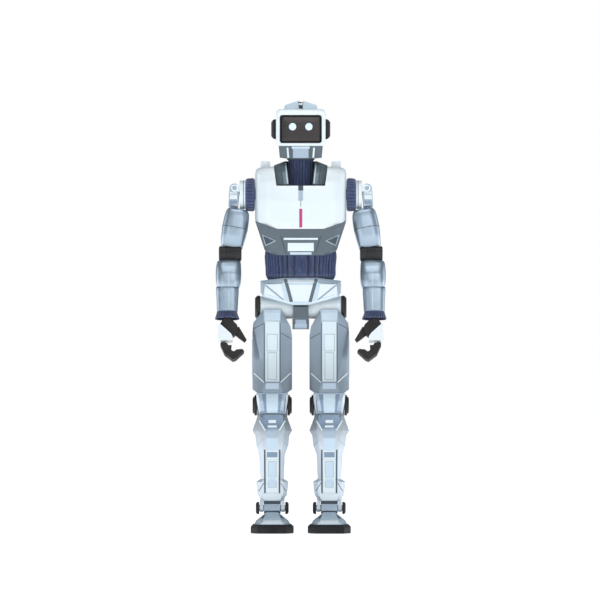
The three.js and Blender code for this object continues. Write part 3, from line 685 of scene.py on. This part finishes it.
def add_lower_cover_details():
    tree = surface_of(NODES["chest_lower_cover"])
    laid("abdomen_bar", flat_strip(68, 1172, 1180), tree, WHITE, "torso", rise=2)
    laid("abdomen_plate", flat_strip(52, 1127, 1160), tree, WHITE, "torso", rise=1.6)
    laid("abdomen_strip", flat_strip(43, 1113, 1123), tree, PALE, "torso", rise=1.2)
    frame_line = [(-82, 1186), (-60, 1116), (-56, 1116), (-77, 1186)]
    laid("abdomen_frame", frame_line, tree, SLATE, "torso", rise=0.4)
    laid("abdomen_frame_b", mirrored(frame_line), tree, SLATE, "torso", rise=0.4)
    vent = [(155, 1193), (141, 1147), (98, 1168)]
    for s, word in ((1, "left"), (-1, "right")):
        outline = vent if s > 0 else mirrored(vent)
        laid(f"{word}_vent_rim", outline, tree, SILVER, "torso", rise=1.4)
        inner = [(u + (s * 131 - u) * 0.2, v + (1170 - v) * 0.2) for u, v in outline]
        laid(f"{word}_vent", inner, tree, SLATE, "torso", rise=1.8)
        seam = line((s * 162, 1228), (s * 121, 1215), 2.4)
        laid(f"{word}_cover_seam", seam, tree, SLATE, "torso", rise=0.4)


def ribbed_sleeve(table, folds, depth, low, high, seed, power=2.6, levels=26):
    """A cloth tube whose upright folds vary in depth and wander a little."""
    rng = random.Random(seed)
    sizes = [rng.uniform(0.55, 1.2) for _ in range(folds)]
    phases = [rng.uniform(-0.18, 0.18) for _ in range(folds)]
    count = folds * 8
    rings = []
    for k in range(levels + 1):
        z = low + (high - low) * k / levels
        half, front, back = between(table, z)
        ring = []
        for i, (x, y, _) in enumerate(oval(z, -half, half, front, back, power, count)):
            fold = i // 8
            drift = noise.noise(Vector((fold * 0.7, z * 0.02, seed)))
            wave = math.sin(math.pi * ((i % 8) / 8 + phases[fold] * drift))
            swell = depth * sizes[fold] * (abs(wave) ** 0.8 - 0.6) + 1.3 * drift
            length = math.hypot(x, y)
            ring.append((x + x / length * swell, y + y / length * swell, z))
        rings.append(ring)
    return skin(rings, caps=False)


def cloth_piece(name, shape, place=ROBOT, side=1, thickness=1.6):
    obj = solid(name, shape, place, side)
    thick = obj.modifiers.new("thickness", "SOLIDIFY")
    thick.thickness = thickness * MM
    thick.offset = -1
    settle(obj)
    soften(obj, 0)
    return obj


def add_waist_sleeve():
    table = [
        (1008, 124, -54, 62), (1022, 133, -70, 77), (1034, 137, -86, 86), (1060, 137, -90, 88),
        (1106, 141, -93, 88), (1132, 138, -92, 80),
    ]
    obj = cloth_piece("waist_cloth", ribbed_sleeve(table, 46, 10, 1008, 1132, 3, 3.4, 34))
    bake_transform(obj)
    dress(obj, NAVY, None, ["waist_sleeve"])


def add_neck_sleeve():
    table = [(1388, 52, -52, 52), (1440, 51, -51, 51), (1476, 50, -50, 50), (1500, 49, -49, 49)]
    obj = cloth_piece("neck_cloth", ribbed_sleeve(table, 26, 4, 1388, 1500, 5, 2.0, 20))
    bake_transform(obj)
    dress(obj, NAVY, None, ["neck_sleeve"])


def add_collar_details():
    tree = surface_of(NODES["collar"])
    for s, word in ((1, "left"), (-1, "right")):
        trim = line((s * 61, 1478), (s * 53, 1397), 4)
        laid(f"{word}_collar_trim", trim, tree, CYAN, "torso", rise=1.4, cuts=7)
        seam = line((s * 80, 1470), (s * 72, 1400), 2)
        laid(f"{word}_collar_seam", seam, tree, SLATE, "torso", rise=0.4, cuts=7)
    ring = turned("z", (0, 0, 1384), [(0, 60), (6, 60), (8, 56), (8, 52), (0, 52)])
    piece("neck_seat_ring", ring, SLATE, "torso", edge=0.8)


# ---- Head ----
def add_face():
    lo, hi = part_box("face_frame")
    back, front = (hi.y - MID_Y) / MM, (lo.y - MID_Y) / MM
    low, high, half = lo.z / MM, hi.z / MM, hi.x / MM
    rings = [
        rounded(half - 1, low + 1, high - 1, 7, back, 6, 16), rounded(half, low, high, 8, back - 3, 6, 17),
        rounded(half, low, high, 8, front + 9, 6, 17),
        rounded(half - 3, low + 3, high - 3, 8, front + 3, 6, 16),
        rounded(half - 8, low + 8, high - 8, 8, front, 6, 14), rounded(85, 1557, 1672, 11, front, 6),
        rounded(84, 1558, 1671, 11, front + 1, 6), rounded(84, 1558, 1671, 11, front + 20, 6),
        rounded(84, 1558, 1671, 11, front + 24, 6), rounded(84, 1558, 1671, 11, back, 6),
    ]
    rings.append(rings[0])
    points, faces = skin(rings[:-1], caps=False)
    n, last = len(rings[0]), len(rings) - 2
    faces += [(last * n + i, last * n + (i + 1) % n, (i + 1) % n, i) for i in range(n)]
    piece("face_rim", (points, faces), WHITE, "head", edge=0, replaces=["face_frame"])
    bevel = [
        rounded(84.2, 1557.8, 1671.2, 11, front + 3, 6), rounded(83, 1559, 1670, 10, front + 2.4, 6),
        rounded(77.5, 1563.5, 1665.5, 9, front + 11, 6), rounded(76.6, 1564.4, 1664.6, 9, front + 18, 6),
        rounded(84.2, 1557.8, 1671.2, 11, front + 18, 6),
    ]
    points, faces = skin(bevel, caps=False)
    faces += [(4 * n + i, 4 * n + (i + 1) % n, (i + 1) % n, i) for i in range(n)]
    piece("screen_bevel", (points, faces), BLACK, "head", edge=0)
    dome = [
        rounded(78, 1563, 1666, 9, -62, 6), rounded(78, 1563, 1666, 9, -88, 6),
        rounded(76, 1565, 1664, 8, -89.6, 6), rounded(71, 1570, 1659, 7, -90.2, 6),
        rounded(50, 1590, 1640, 5, -90.5, 6), rounded(20, 1608, 1622, 2, -90.6, 6),
    ]
    piece("screen", skin(dome), SCREEN, "head", edge=0, replaces=["face_display"])
    for s, word in ((1, "left"), (-1, "right")):
        eye = [(0, 14.6), (-1.2, 14.6), (-1.8, 13.8), (-2.0, 7)]
        piece(f"{word}_eye", turned("y", (s * 32.6, -89.6, 1624), eye), EYE, "head", edge=0)
        halo = [(0, 16.6), (-0.5, 16.6), (-0.9, 16), (-0.9, 14.8), (0, 14.8)]
        piece(f"{word}_eye_ring", turned("y", (s * 32.6, -89.9, 1624), halo), SLATE, "head", edge=0)


def add_head_details():
    piece("crown_sensor", block(-8, 8, -53.5, -20, 1697, 1711), SLATE, "head", edge=1.5)
    piece("crown_slit_liner", block(-8.6, 8.6, -38, 38, 1708, 1719), WHITE, "head", edge=2)
    lens = turned("y", (0, -53, 1704), [(0, 4.4), (-1.4, 4.4), (-2, 3.4), (-2.2, 1)])
    piece("crown_sensor_lens", lens, SCREEN, "head", edge=0)
    tree = surface_of(NODES["jaw_cover"])
    laid("chin_panel", flat_strip(31, 1499, 1541), tree, SILVER, "head", rise=2, depth=4)
    laid("chin_top_bar", flat_strip(36, 1536, 1545), tree, PALE, "head", rise=3, depth=4)
    for s, word in ((1, "left"), (-1, "right")):
        laid(f"{word}_chin_trim", line((s * 50, 1500), (s * 53, 1540), 7), tree, WHITE, "head", rise=1.6)
        laid(f"{word}_cheek_seam", line((s * 38, 1500), (s * 40, 1540), 2.4), tree, SLATE, "head", rise=0.6)
    # A dark ring in the gap between the chin and the neck: painted shade.
    band = skin([oval(1491, -54, 54, -54, 46, 3.2, 56), oval(1496.5, -56, 56, -58, 44, 3.2, 56)])
    piece("neck_gap_shade", band, SLATE, "head", edge=1)
    shell = surface_of(NODES["head_shell"])
    rear = [
        (-60, 1572), (60, 1572), (66, 1584), (66, 1656), (54, 1670), (-54, 1670), (-66, 1656), (-66, 1584),
    ]
    laid("head_rear_panel", rear, shell, SILVER, "head", BACK, rise=1.6, depth=3)
    for k in range(6):
        z = 1596 + 9 * k
        laid(f"head_rear_vent_{k}", flat_strip(34, z, z + 4), shell, SLATE, "head", BACK, rise=2.2)
    for u in (-56, 56):
        for v in (1580, 1662):
            screw(f"head_screw_{'a' if u < 0 else 'b'}_{v}", u, v, shell, "head", BACK)
    for side, s in SIDES.items():
        lo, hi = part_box(side + "_ear_pad")
        outer = max(abs(lo.x), abs(hi.x)) / MM
        rim = [(outer - 0.5, 30), (outer + 1.2, 29), (outer + 1.2, 24), (outer - 0.2, 23)]
        ring = turned("x", (0, 0, 1615), rim + [(outer - 0.6, 10)])
        piece(f"{side}_ear_ring", ring, GREY, "head", ROBOT, s, edge=0.6)


# ---- Pelvis ----
def add_pelvis_details():
    tree = surface_of(NODES["pelvis_front_cover"])
    rear = surface_of(NODES["pelvis_rear_cover"])
    saddle = surface_of(NODES["pelvis_frame"])
    laid("crotch_plate", flat_strip(31, 818, 853), saddle, SILVER, "pelvis", rise=1.2)
    plate = [(-51, 993), (51, 993), (33, 926), (-33, 926)]
    laid("pelvis_plate", plate, tree, WHITE, "pelvis", rise=1.6)
    bar = [(-54, 1002), (54, 1002), (52, 1011), (-52, 1011)]
    laid("pelvis_top_bar", bar, tree, WHITE, "pelvis", rise=1.0, depth=1.2)
    laid("pelvis_rear_plate", plate, rear, PALE, "pelvis", BACK, rise=1.6)
    for s, word in ((1, "left"), (-1, "right")):
        strap = line((s * 62, 1017), (s * 37, 924), 13)
        laid(f"{word}_strap", strap, tree, GREY, "pelvis", rise=2.6, depth=4, cuts=8)
        laid(f"{word}_rear_strap", strap, rear, GREY, "pelvis", BACK, rise=2.6, depth=4, cuts=8)
        lip = line((s * 142, 951), (s * 36, 919), 6)
        laid(f"{word}_pelvis_lip", lip, tree, WHITE, "pelvis", rise=1.2)
        laid(f"{word}_pelvis_rear_lip", lip, rear, PALE, "pelvis", BACK, rise=1.2)
        wing = [(s * 78, 994), (s * 134, 993), (s * 66, 936)]
        laid(f"{word}_wing_upper", wing, tree, WHITE, "pelvis", rise=1.5)
        lower = [(s * 144, 986), (s * 146, 958), (s * 84, 940)]
        laid(f"{word}_wing_lower", lower, tree, WHITE, "pelvis", rise=1.5)
        laid(f"{word}_wing_edge", line((s * 142, 992), (s * 66, 930), 2.4), tree, SLATE, "pelvis", rise=0.5)
        laid(f"{word}_wing_top", line((s * 144, 997), (s * 72, 1000), 2.4), tree, SLATE, "pelvis", rise=0.5)
    for side, s in SIDES.items():
        lo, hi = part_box(side + "_hip_cap")
        outer = max(abs(lo.x), abs(hi.x)) / MM
        centre = joint_at(side + "_hip_pitch").z / MM
        pad = [
            (161.2, 42.6), (161.2, 46), (163, 47.5), (outer - 9, 47.5), (outer - 1, 39), (outer, 37),
            (outer, 30), (outer - 2, 29), (outer - 2, 14), (outer, 13), (outer, 2),
        ]
        shape = turned("x", (0, 0, centre), pad)
        link, cap = side + "_hip_link", side + "_hip_cap"
        piece(f"{side}_hip_pad", shape, BLACK, link, ROBOT, s, 0.8, replaces=[cap])


# ---- Arms ----
TREES = {}  # the left side's surfaces, which both sides' plates are laid on
UPPER_ARM_SHELL = [  # along the arm from the elbow, half width, front, back
    (26, 43, -18, 41), (44, 46, -32, 46), (66, 48.5, -43, 49), (104, 51.5, -50, 51), (146, 50, -51, 52),
    (172, 46, -47, 48), (179, 43, -43, 44), (181, 37, -36, 38),
]
FOREARM_SHELL = [  # height, inner x, outer x, front, back
    (974, 246, 333, -46, 47), (982, 242, 337, -49, 50), (1000, 239, 339, -52, 53),
    (1027, 237.5, 340, -52, 53),
    (1052, 238, 339, -43, 50), (1072, 239, 337, -28, 47), (1087, 241, 332, -15, 43),
]
FOREARM_LOWER = [
    (878.5, 252, 335, -40, 41), (920, 250, 336, -43, 43), (966, 247, 339, -45, 46), (973, 249, 337, -43, 44),
]


def smooth_rings(table, power, count=72, levels=30, wide=False):
    heights = [table[0][0] + (table[-1][0] - table[0][0]) * k / levels for k in range(levels + 1)]
    rows = [between(table, z) for z in heights]
    for _ in range(3):
        rows[1:-1] = [
            [(a + 2 * b + c) / 4 for a, b, c in zip(*near)] for near in zip(rows, rows[1:], rows[2:])
        ]
    rings = []
    for z, row in zip(heights, rows):
        x0, x1, front, back = row if wide else (-row[0], *row)
        rings.append(oval(z, x0, x1, front, back, power, count))
    return rings


def add_shoulder(side, s):
    """A soft navy ring with gathers, the ring's seam and the ends of the roll shaft."""
    rng = random.Random(11)
    folds, count = 30, 240
    profile = [
        (183, 50), (183.6, 60), (187, 64), (194, 66), (203, 65), (212, 64.5), (218, 62), (221.4, 57),
        (221.6, 50),
    ]
    depth = [rng.uniform(0.6, 1.3) for _ in range(folds)]
    rings = []
    for x, r in profile:
        ring = []
        for i in range(count):
            a = 2 * math.pi * i / count
            wave = abs(math.sin(math.pi * i / 8)) - 0.6
            swell = 2.6 * depth[i // 8] * wave * (1 if 184 < x < 221 else 0)
            ring.append((x, (r + swell) * math.cos(a), SHOULDER_Z / MM + (r + swell) * math.sin(a)))
        rings.append(ring)
    obj = cloth_piece(f"{side}_shoulder_cloth", skin(rings, caps=False), ROBOT, s, 2.5)
    dress(obj, NAVY, "torso", [side + "_shoulder_sleeve"])
    z = SHOULDER_Z / MM
    groove = turned("x", (0, 0, z), [(228, 57.1), (228.4, 57.6), (230, 57.6), (230.4, 57.1)])
    piece(f"{side}_shoulder_seam", groove, SLATE, side + "_shoulder_link", ARM, s, edge=0)
    roll = ARM.inverted() @ joint_at("left_shoulder_roll") / MM
    for k, y in enumerate((-44, 44)):
        out = math.copysign(1, y)
        steps = [(-1, 7.5), (1.4, 7.5), (2, 6.4), (2, 3.4), (0.4, 3)]
        pin = turned("y", (roll.x, 0, roll.z), [(y + out * past, radius) for past, radius in steps], 32)
        piece(f"{side}_roll_pin_{k}", pin, SILVER, side + "_shoulder_link", ARM, s, edge=0.5)


def add_cup_panels(side, s):
    tree = TREES.setdefault("cup", surface_of(NODES["left_shoulder_cup"]))
    for name, low, high, material in (("panel", 1328, 1360, WHITE), ("band", 1306, 1322, SHADED)):
        outline = [(255, low), (284, low), (283, high), (253, high)]
        laid(f"{side}_shoulder_{name}", outline, tree, material, side + "_shoulder", FRONT, ARM, s, 1.2)


def add_upper_arm(side, s):
    shell = solid(f"{side}_upper_arm_cover", skin(smooth_rings(UPPER_ARM_SHELL, 3.2)), UPPER_ARM, s)
    elbow = turned("x", tuple(ELBOW / MM), [(-120, 31), (120, 31)], 64)
    carve(shell, "DIFFERENCE", elbow, place=ARM, side=s)
    soften(shell, 2, 35)
    dress(shell, SILVER, side + "_upper_arm", [side + "_upper_arm_shell"])
    rings = []
    for z, lift in ((101, 0.1), (101.5, 0.5), (103.2, 0.5), (103.7, 0.1)):
        half, front, back = between(UPPER_ARM_SHELL, z)
        rings.append(oval(z, -half - lift, half + lift, front - lift, back + lift, 3.2, 72))
    piece(f"{side}_arm_seam", skin(rings), GREY, side + "_upper_arm", UPPER_ARM, s, edge=0)
    x, z = ELBOW.x / MM, ELBOW.z / MM
    for k, (a, b) in enumerate(((-45.5, -38), (38, 45.5))):
        rim = [(x + a, 22), (x + a + 0.8, 26), (x + b - 0.8, 26), (x + b, 22)]
        hub = turned("x", (0, 0, z), rim)
        piece(f"{side}_elbow_hub_{k}", hub, GREY, side + "_upper_arm", ARM, s, edge=0.8)
    for k in (-14, 0, 14):
        profile = [(x + k - 2, 30.1), (x + k - 1.4, 30.9), (x + k + 1.4, 30.9), (x + k + 2, 30.1)]
        band = turned("x", (0, 0, z), profile)
        piece(f"{side}_elbow_rib_{k + 14}", band, BLACK, side + "_upper_arm", ARM, s, edge=0)


def add_forearm(side, s):
    upper = solid(f"{side}_forearm_upper", skin(smooth_rings(FOREARM_SHELL, 3.4, wide=True)), ARM, s)
    elbow = turned("x", tuple(ELBOW / MM), [(-120, 31.2), (120, 31.2)], 64)
    carve(upper, "DIFFERENCE", elbow, place=ARM, side=s)
    soften(upper, 2, 35)
    dress(upper, SILVER, side + "_forearm", [side + "_forearm_shell"])
    lower = solid(f"{side}_forearm_lower", skin(smooth_rings(FOREARM_LOWER, 3.6, wide=True)), ARM, s)
    soften(lower, 1.5, 40)
    dress(lower, SILVER, side + "_forearm")
    seam = skin([oval(z, x0, x1, -43, 44, 3.6, 72) for z, x0, x1 in ((968, 249, 338), (975, 249, 338))])
    piece(f"{side}_forearm_seam", seam, SLATE, side + "_forearm", ARM, s, edge=0)
    if s > 0:
        TREES["forearm_upper"] = surface_of(upper)
        TREES["forearm_lower"] = surface_of(lower)
    for name, low, high in (("upper", 985, 1040), ("lower", 884, 960)):
        body, tree = side + "_forearm", TREES["forearm_" + name]
        edge = line((287, low), (287, high), 4)
        laid(f"{side}_forearm_{name}_edge", edge, tree, PALE, body, FRONT, ARM, s, 0.6)
        screw(f"{side}_forearm_{name}_screw", 325, high - 8, tree, body, FRONT, ARM, s)


def add_wrist(side, s):
    folds, levels, count = 26, 10, 208
    middle = 294.5
    rng = random.Random(23)
    depth = [rng.uniform(0.5, 1.2) for _ in range(folds)]
    rings = []
    for k in range(levels + 1):
        t = k / levels
        z = 851 + 27 * t
        flare = (1 - t) ** 1.4
        deep = 40 + 6 * flare
        ring = []
        for i, (x, y, _) in enumerate(oval(z, 254 - 9 * flare, 335 + 7 * flare, -deep, deep, 2.8, count)):
            swell = (abs(math.sin(math.pi * i / 8)) - 0.6) * depth[i // 8] * (1.2 + 2.2 * flare)
            dx, dy = x - middle, y
            length = math.hypot(dx, dy)
            ring.append((x + dx / length * swell, y + dy / length * swell, z))
        rings.append(ring)
    cuff = cloth_piece(f"{side}_wrist_cloth", skin(rings, caps=False), ARM, s, 2.2)
    dress(cuff, NAVY, side + "_hand")
    outline = [
        (273, 776), (262, 782), (251, 800), (253, 822), (280, 850), (284, 866), (308, 866), (309, 848),
        (326, 820),
    ]
    hand, wrist = side + "_hand", side + "_wrist_section"
    piece(f"{side}_palm_core", prism(outline, -29, 29), GLOVE, hand, ARM, s, edge=4, replaces=[wrist])
    ring = skin([oval(858, 266, 324, -31, 31, 2.4, 48), oval(874, 262, 328, -34, 34, 2.4, 48)])
    piece(f"{side}_wrist_ring", ring, BLACK, side + "_hand", ARM, s, edge=1)


# ---- Legs ----
def leg_line(a, b, width):
    """A strip given from the leg's centre line."""
    return [(LEG_X + u, v) for u, v in line(a, b, width)]


def leg_panel(*corners):
    return [(LEG_X + u, v) for u, v in corners]


def mirror_panel(half, low, high, top_half=None):
    wide = top_half if top_half is not None else half
    return leg_panel((-half, low), (half, low), (wide, high), (-wide, high))


def add_thigh(side, s):
    body = side + "_thigh"
    if "thigh" not in TREES:
        plug = block(LEG_X - 14, LEG_X + 14, -69.8, 69.8, 816, 844)
        TREES["thigh"] = surface_of(NODES["left_thigh_shell"], plug)
    tree = TREES["thigh"]

    def on(name, outline, material, look=FRONT, **more):
        laid(f"{side}_{name}", outline, tree, material, body, look, ROBOT, s, **more)

    def framed(name, panel, material, rise):
        half, low, high = panel
        on(name + "_seam", mirror_panel(half, low, high), GREY, rise=rise - 0.5)
        on(name, mirror_panel(half - 1.2, low + 1.2, high - 1.2), material, rise=rise)

    on("thigh_front_plate", mirror_panel(28, 606, 846), STRIP, rise=1.6, depth=4)
    framed("thigh_inset_top", (21.5, 728, 796), STRIP, 2.8)
    framed("thigh_inset_low", (18, 614, 722), STRIP, 2.8)
    on("thigh_brow", mirror_panel(30, 850, 882, 32), PALE, rise=0.7)
    on("thigh_hem", mirror_panel(27, 576, 600, 26), SILVER, rise=0.9)
    for word, turn in (("outer", 1), ("inner", -1)):
        top = 838 if turn > 0 else 800
        on(f"thigh_{word}_edge", leg_line((turn * 32, 606), (turn * 32, 842), 2.6), SLATE, rise=0.5)
        on(f"thigh_{word}_slope", leg_line((turn * 36, top), (turn * 76, top - 22), 2.4), SLATE, rise=0.5)
        on(f"thigh_{word}_foot", leg_line((turn * 34, 603), (turn * 74, 640), 3), WHITE, rise=0.8)
    rear = [(-26, 640), (26, 640), (26, 770), (-26, 770)]
    on("thigh_rear_panel", [(LEG_X + u, v) for u, v in rear], PALE, BACK, rise=1.8)
    flank = [(-26, 622), (26, 622), (30, 650), (30, 760), (20, 776), (-20, 776), (-30, 760), (-30, 650)]
    on("thigh_side_panel", flank, PALE, OUTER, rise=1.6)
    for k, v in enumerate((636, 752)):
        screw(f"{side}_thigh_screw_{k}", 0, v, tree, body, OUTER, ROBOT, s)
    for k, (u, v) in enumerate(((-24, 618), (24, 618), (-24, 830), (24, 830))):
        screw(f"{side}_thigh_front_screw_{k}", LEG_X + u, v, tree, body, FRONT, ROBOT, s, 2.2)


def add_knee(side, s):
    body = side + "_thigh"
    tree = TREES.setdefault("knee", surface_of(NODES["left_knee_cap"]))
    strip = mirror_panel(21, 482, 556, 24)
    laid(f"{side}_knee_strip", strip, tree, PALE, body, FRONT, ROBOT, s, rise=2.4, depth=4)
    for turn, word in ((1, "outer"), (-1, "inner")):
        # The grooves are thin darker plates: painted shade in the knee's grooves.
        groove = leg_panel((turn * 25, 556), (turn * 42, 556), (turn * 29, 484), (turn * 24, 484))
        laid(f"{side}_knee_{word}_groove", groove, tree, SHADED, body, FRONT, ROBOT, s, rise=0.9, cuts=14)
        crescent = leg_line((turn * 56, 486), (turn * 60, 552), 9)
        laid(f"{side}_knee_{word}_crescent", crescent, tree, WHITE, body, FRONT, ROBOT, s, rise=1.2)
    for turn, word in ((1, "outer"), (-1, "inner")):
        x = LEG_X + turn * 77.5
        rim = [(x - turn * 0.6, 27), (x + turn * 1.2, 26), (x + turn * 1.2, 18), (x, 17), (x, 3)]
        hub = turned("x", (0, 0, KNEE_Z), rim)
        piece(f"{side}_knee_{word}_hub", hub, GREY, side + "_shin", ROBOT, s, edge=0.6)


def add_shin(side, s):
    body = side + "_shin"
    tree = TREES.setdefault("shin", surface_of(NODES["left_shin_shell"]))

    def on(name, outline, material, look=FRONT, **more):
        laid(f"{side}_{name}", outline, tree, material, body, look, ROBOT, s, **more)

    # The throat below the knee is a darker plate: painted shade.
    throat = leg_panel((-50, 473), (50, 473), (45, 446), (24, 408), (-24, 408), (-45, 446))
    on("shin_throat", throat, SHADED, rise=0.7, cuts=8)
    on("shin_bar_a", mirror_panel(15, 441, 453), WHITE, rise=1.8)
    on("shin_bar_b", mirror_panel(18, 423, 431), WHITE, rise=1.8)
    on("shin_panel_a", mirror_panel(24, 386, 419, 27), SILVER, rise=1.8)
    on("shin_panel_b", mirror_panel(22, 334, 380, 25), CYAN, rise=1.6)
    # The recess is a darker plate: painted shade.
    on("shin_recess", mirror_panel(21, 304, 324), SHADED, rise=0.5)
    on("shin_bar_d", mirror_panel(22, 326, 331), WHITE, rise=1.8)
    on("shin_bar_c", mirror_panel(21, 296, 302), WHITE, rise=1.8)
    on("shin_plate", mirror_panel(24, 165, 292), WHITE, rise=1.5, depth=4)
    on("shin_inset_seam", mirror_panel(17, 183, 287), GREY, rise=2.0)
    on("shin_inset", mirror_panel(16, 184, 286), CYAN, rise=2.5)
    on("ankle_collar", mirror_panel(33, 128, 156, 39), WHITE, rise=2.4, depth=4)
    for turn, word in ((1, "outer"), (-1, "inner")):
        on(f"shin_{word}_slot", leg_line((turn * 29, 160), (turn * 30, 334), 6), SLATE, rise=0.8, cuts=10)
        # The white knee slopes are a painted highlight along the slope edges.
        knee_slope = leg_line((turn * 52, 450), (turn * 28, 411), 5)
        on(f"shin_{word}_knee_slope", knee_slope, WHITE, rise=1.4, cuts=8)
        on(f"shin_{word}_calf_slope", leg_line((turn * 36, 376), (turn * 62, 350), 2.2), SILVER, rise=0.5)
        on(f"shin_{word}_guard", leg_line((turn * 34, 200), (turn * 54, 168), 2.6), SLATE, rise=0.5)
    calf = [(-26, 236), (26, 236), (32, 262), (36, 380), (24, 396), (-24, 396), (-36, 380), (-32, 262)]
    on("calf_panel", [(LEG_X + u * 0.8, v) for u, v in calf], PALE, BACK, rise=1.8)
    side_panel = [(-26, 236), (26, 236), (30, 330), (-30, 330)]
    on("shin_side_panel", side_panel, PALE, OUTER, rise=1.4)
    for k, v in enumerate((248, 384)):
        screw(f"{side}_calf_screw_{k}", LEG_X, v, tree, body, BACK, ROBOT, s)


def add_foot(side, s):
    body = side + "_foot"
    tree = TREES.setdefault("foot", surface_of(NODES["left_foot_cover"]))
    toe = leg_panel((-40, 40), (40, 40), (34, 54), (-34, 54))
    laid(f"{side}_toe_plate", toe, tree, WHITE, body, FRONT, ROBOT, s, rise=1.2)
    ankle = side + "_ankle"
    z = joint_at(side + "_ankle_pitch").z / MM
    drum = turned("x", (LEG_X, 0, z), [(-34, 20), (-32.5, 22), (32.5, 22), (34, 20)])
    face = prism(mirror_panel(33, z - 14, z + 19, 34), -25, 25)
    stem = block(LEG_X - 18, LEG_X + 18, -16, 16, 62, z)
    roller = turned("y", (LEG_X, 0, 62), [(-52, 8), (-39, 8), (-38, 14), (38, 14), (39, 8), (52, 8)])
    shaft = turned("x", (LEG_X, 0, z), [(-60, 12), (60, 12)])
    core = joined(drum, stem, roller, shaft)
    piece(f"{side}_ankle_core", core, STEEL, ankle, ROBOT, s, edge=0.8, replaces=[side + "_ankle_block"])
    piece(f"{side}_ankle_face", face, SILVER, ankle, ROBOT, s, edge=5)
    seal = block(LEG_X - 34.5, LEG_X + 34.5, -27, 27, 117, 132)
    piece(f"{side}_ankle_seal", seal, SLATE, side + "_shin", ROBOT, s, edge=4)
    for turn, word in ((1, "outer"), (-1, "inner")):
        rim = [(52, 22), (53.5, 25), (60, 25), (65, 20), (66, 17), (66, 12), (64.5, 11), (64.5, 2)]
        disc = turned("x", (LEG_X, 0, z), [(turn * along, radius) for along, radius in rim], 40)
        facet = leg_panel((turn * 25, 80), (turn * 35, 72), (turn * 48, 57), (turn * 34, 62))
        laid(f"{side}_foot_{word}_facet", facet, tree, GREY, body, FRONT, ROBOT, s, rise=0.6)
        edge = leg_line((turn * 58, 50), (turn * 36, 39), 4)
        laid(f"{side}_foot_{word}_edge", edge, tree, WHITE, body, FRONT, ROBOT, s, rise=1.0)
        piece(f"{side}_ankle_{word}_disc", disc, BLACK, ankle, ROBOT, s, edge=0.5)


def add_arms():
    for side, s in SIDES.items():
        add_shoulder(side, s)
        add_cup_panels(side, s)
        add_upper_arm(side, s)
        add_forearm(side, s)
        add_wrist(side, s)


def add_legs():
    for side, s in SIDES.items():
        add_thigh(side, s)
        add_knee(side, s)
        add_shin(side, s)
        add_foot(side, s)


REPLACED = {
    "chest_front_shell", "chest_back_shell", "waist_sleeve", "neck_sleeve", "face_frame", "face_display",
    *(f"{side}_{kind}" for side in SIDES for kind in (
        "shoulder_sleeve", "upper_arm_shell", "forearm_shell", "wrist_section")),
}

add_camera()
add_studio()
add_floor()
finish_nodes(sorted(set(NODES) - REPLACED))
add_chest_details(add_chest())
add_lower_cover_details()
add_waist_sleeve()
add_neck_sleeve()
add_collar_details()
add_face()
add_head_details()
add_pelvis_details()
add_arms()
add_legs()
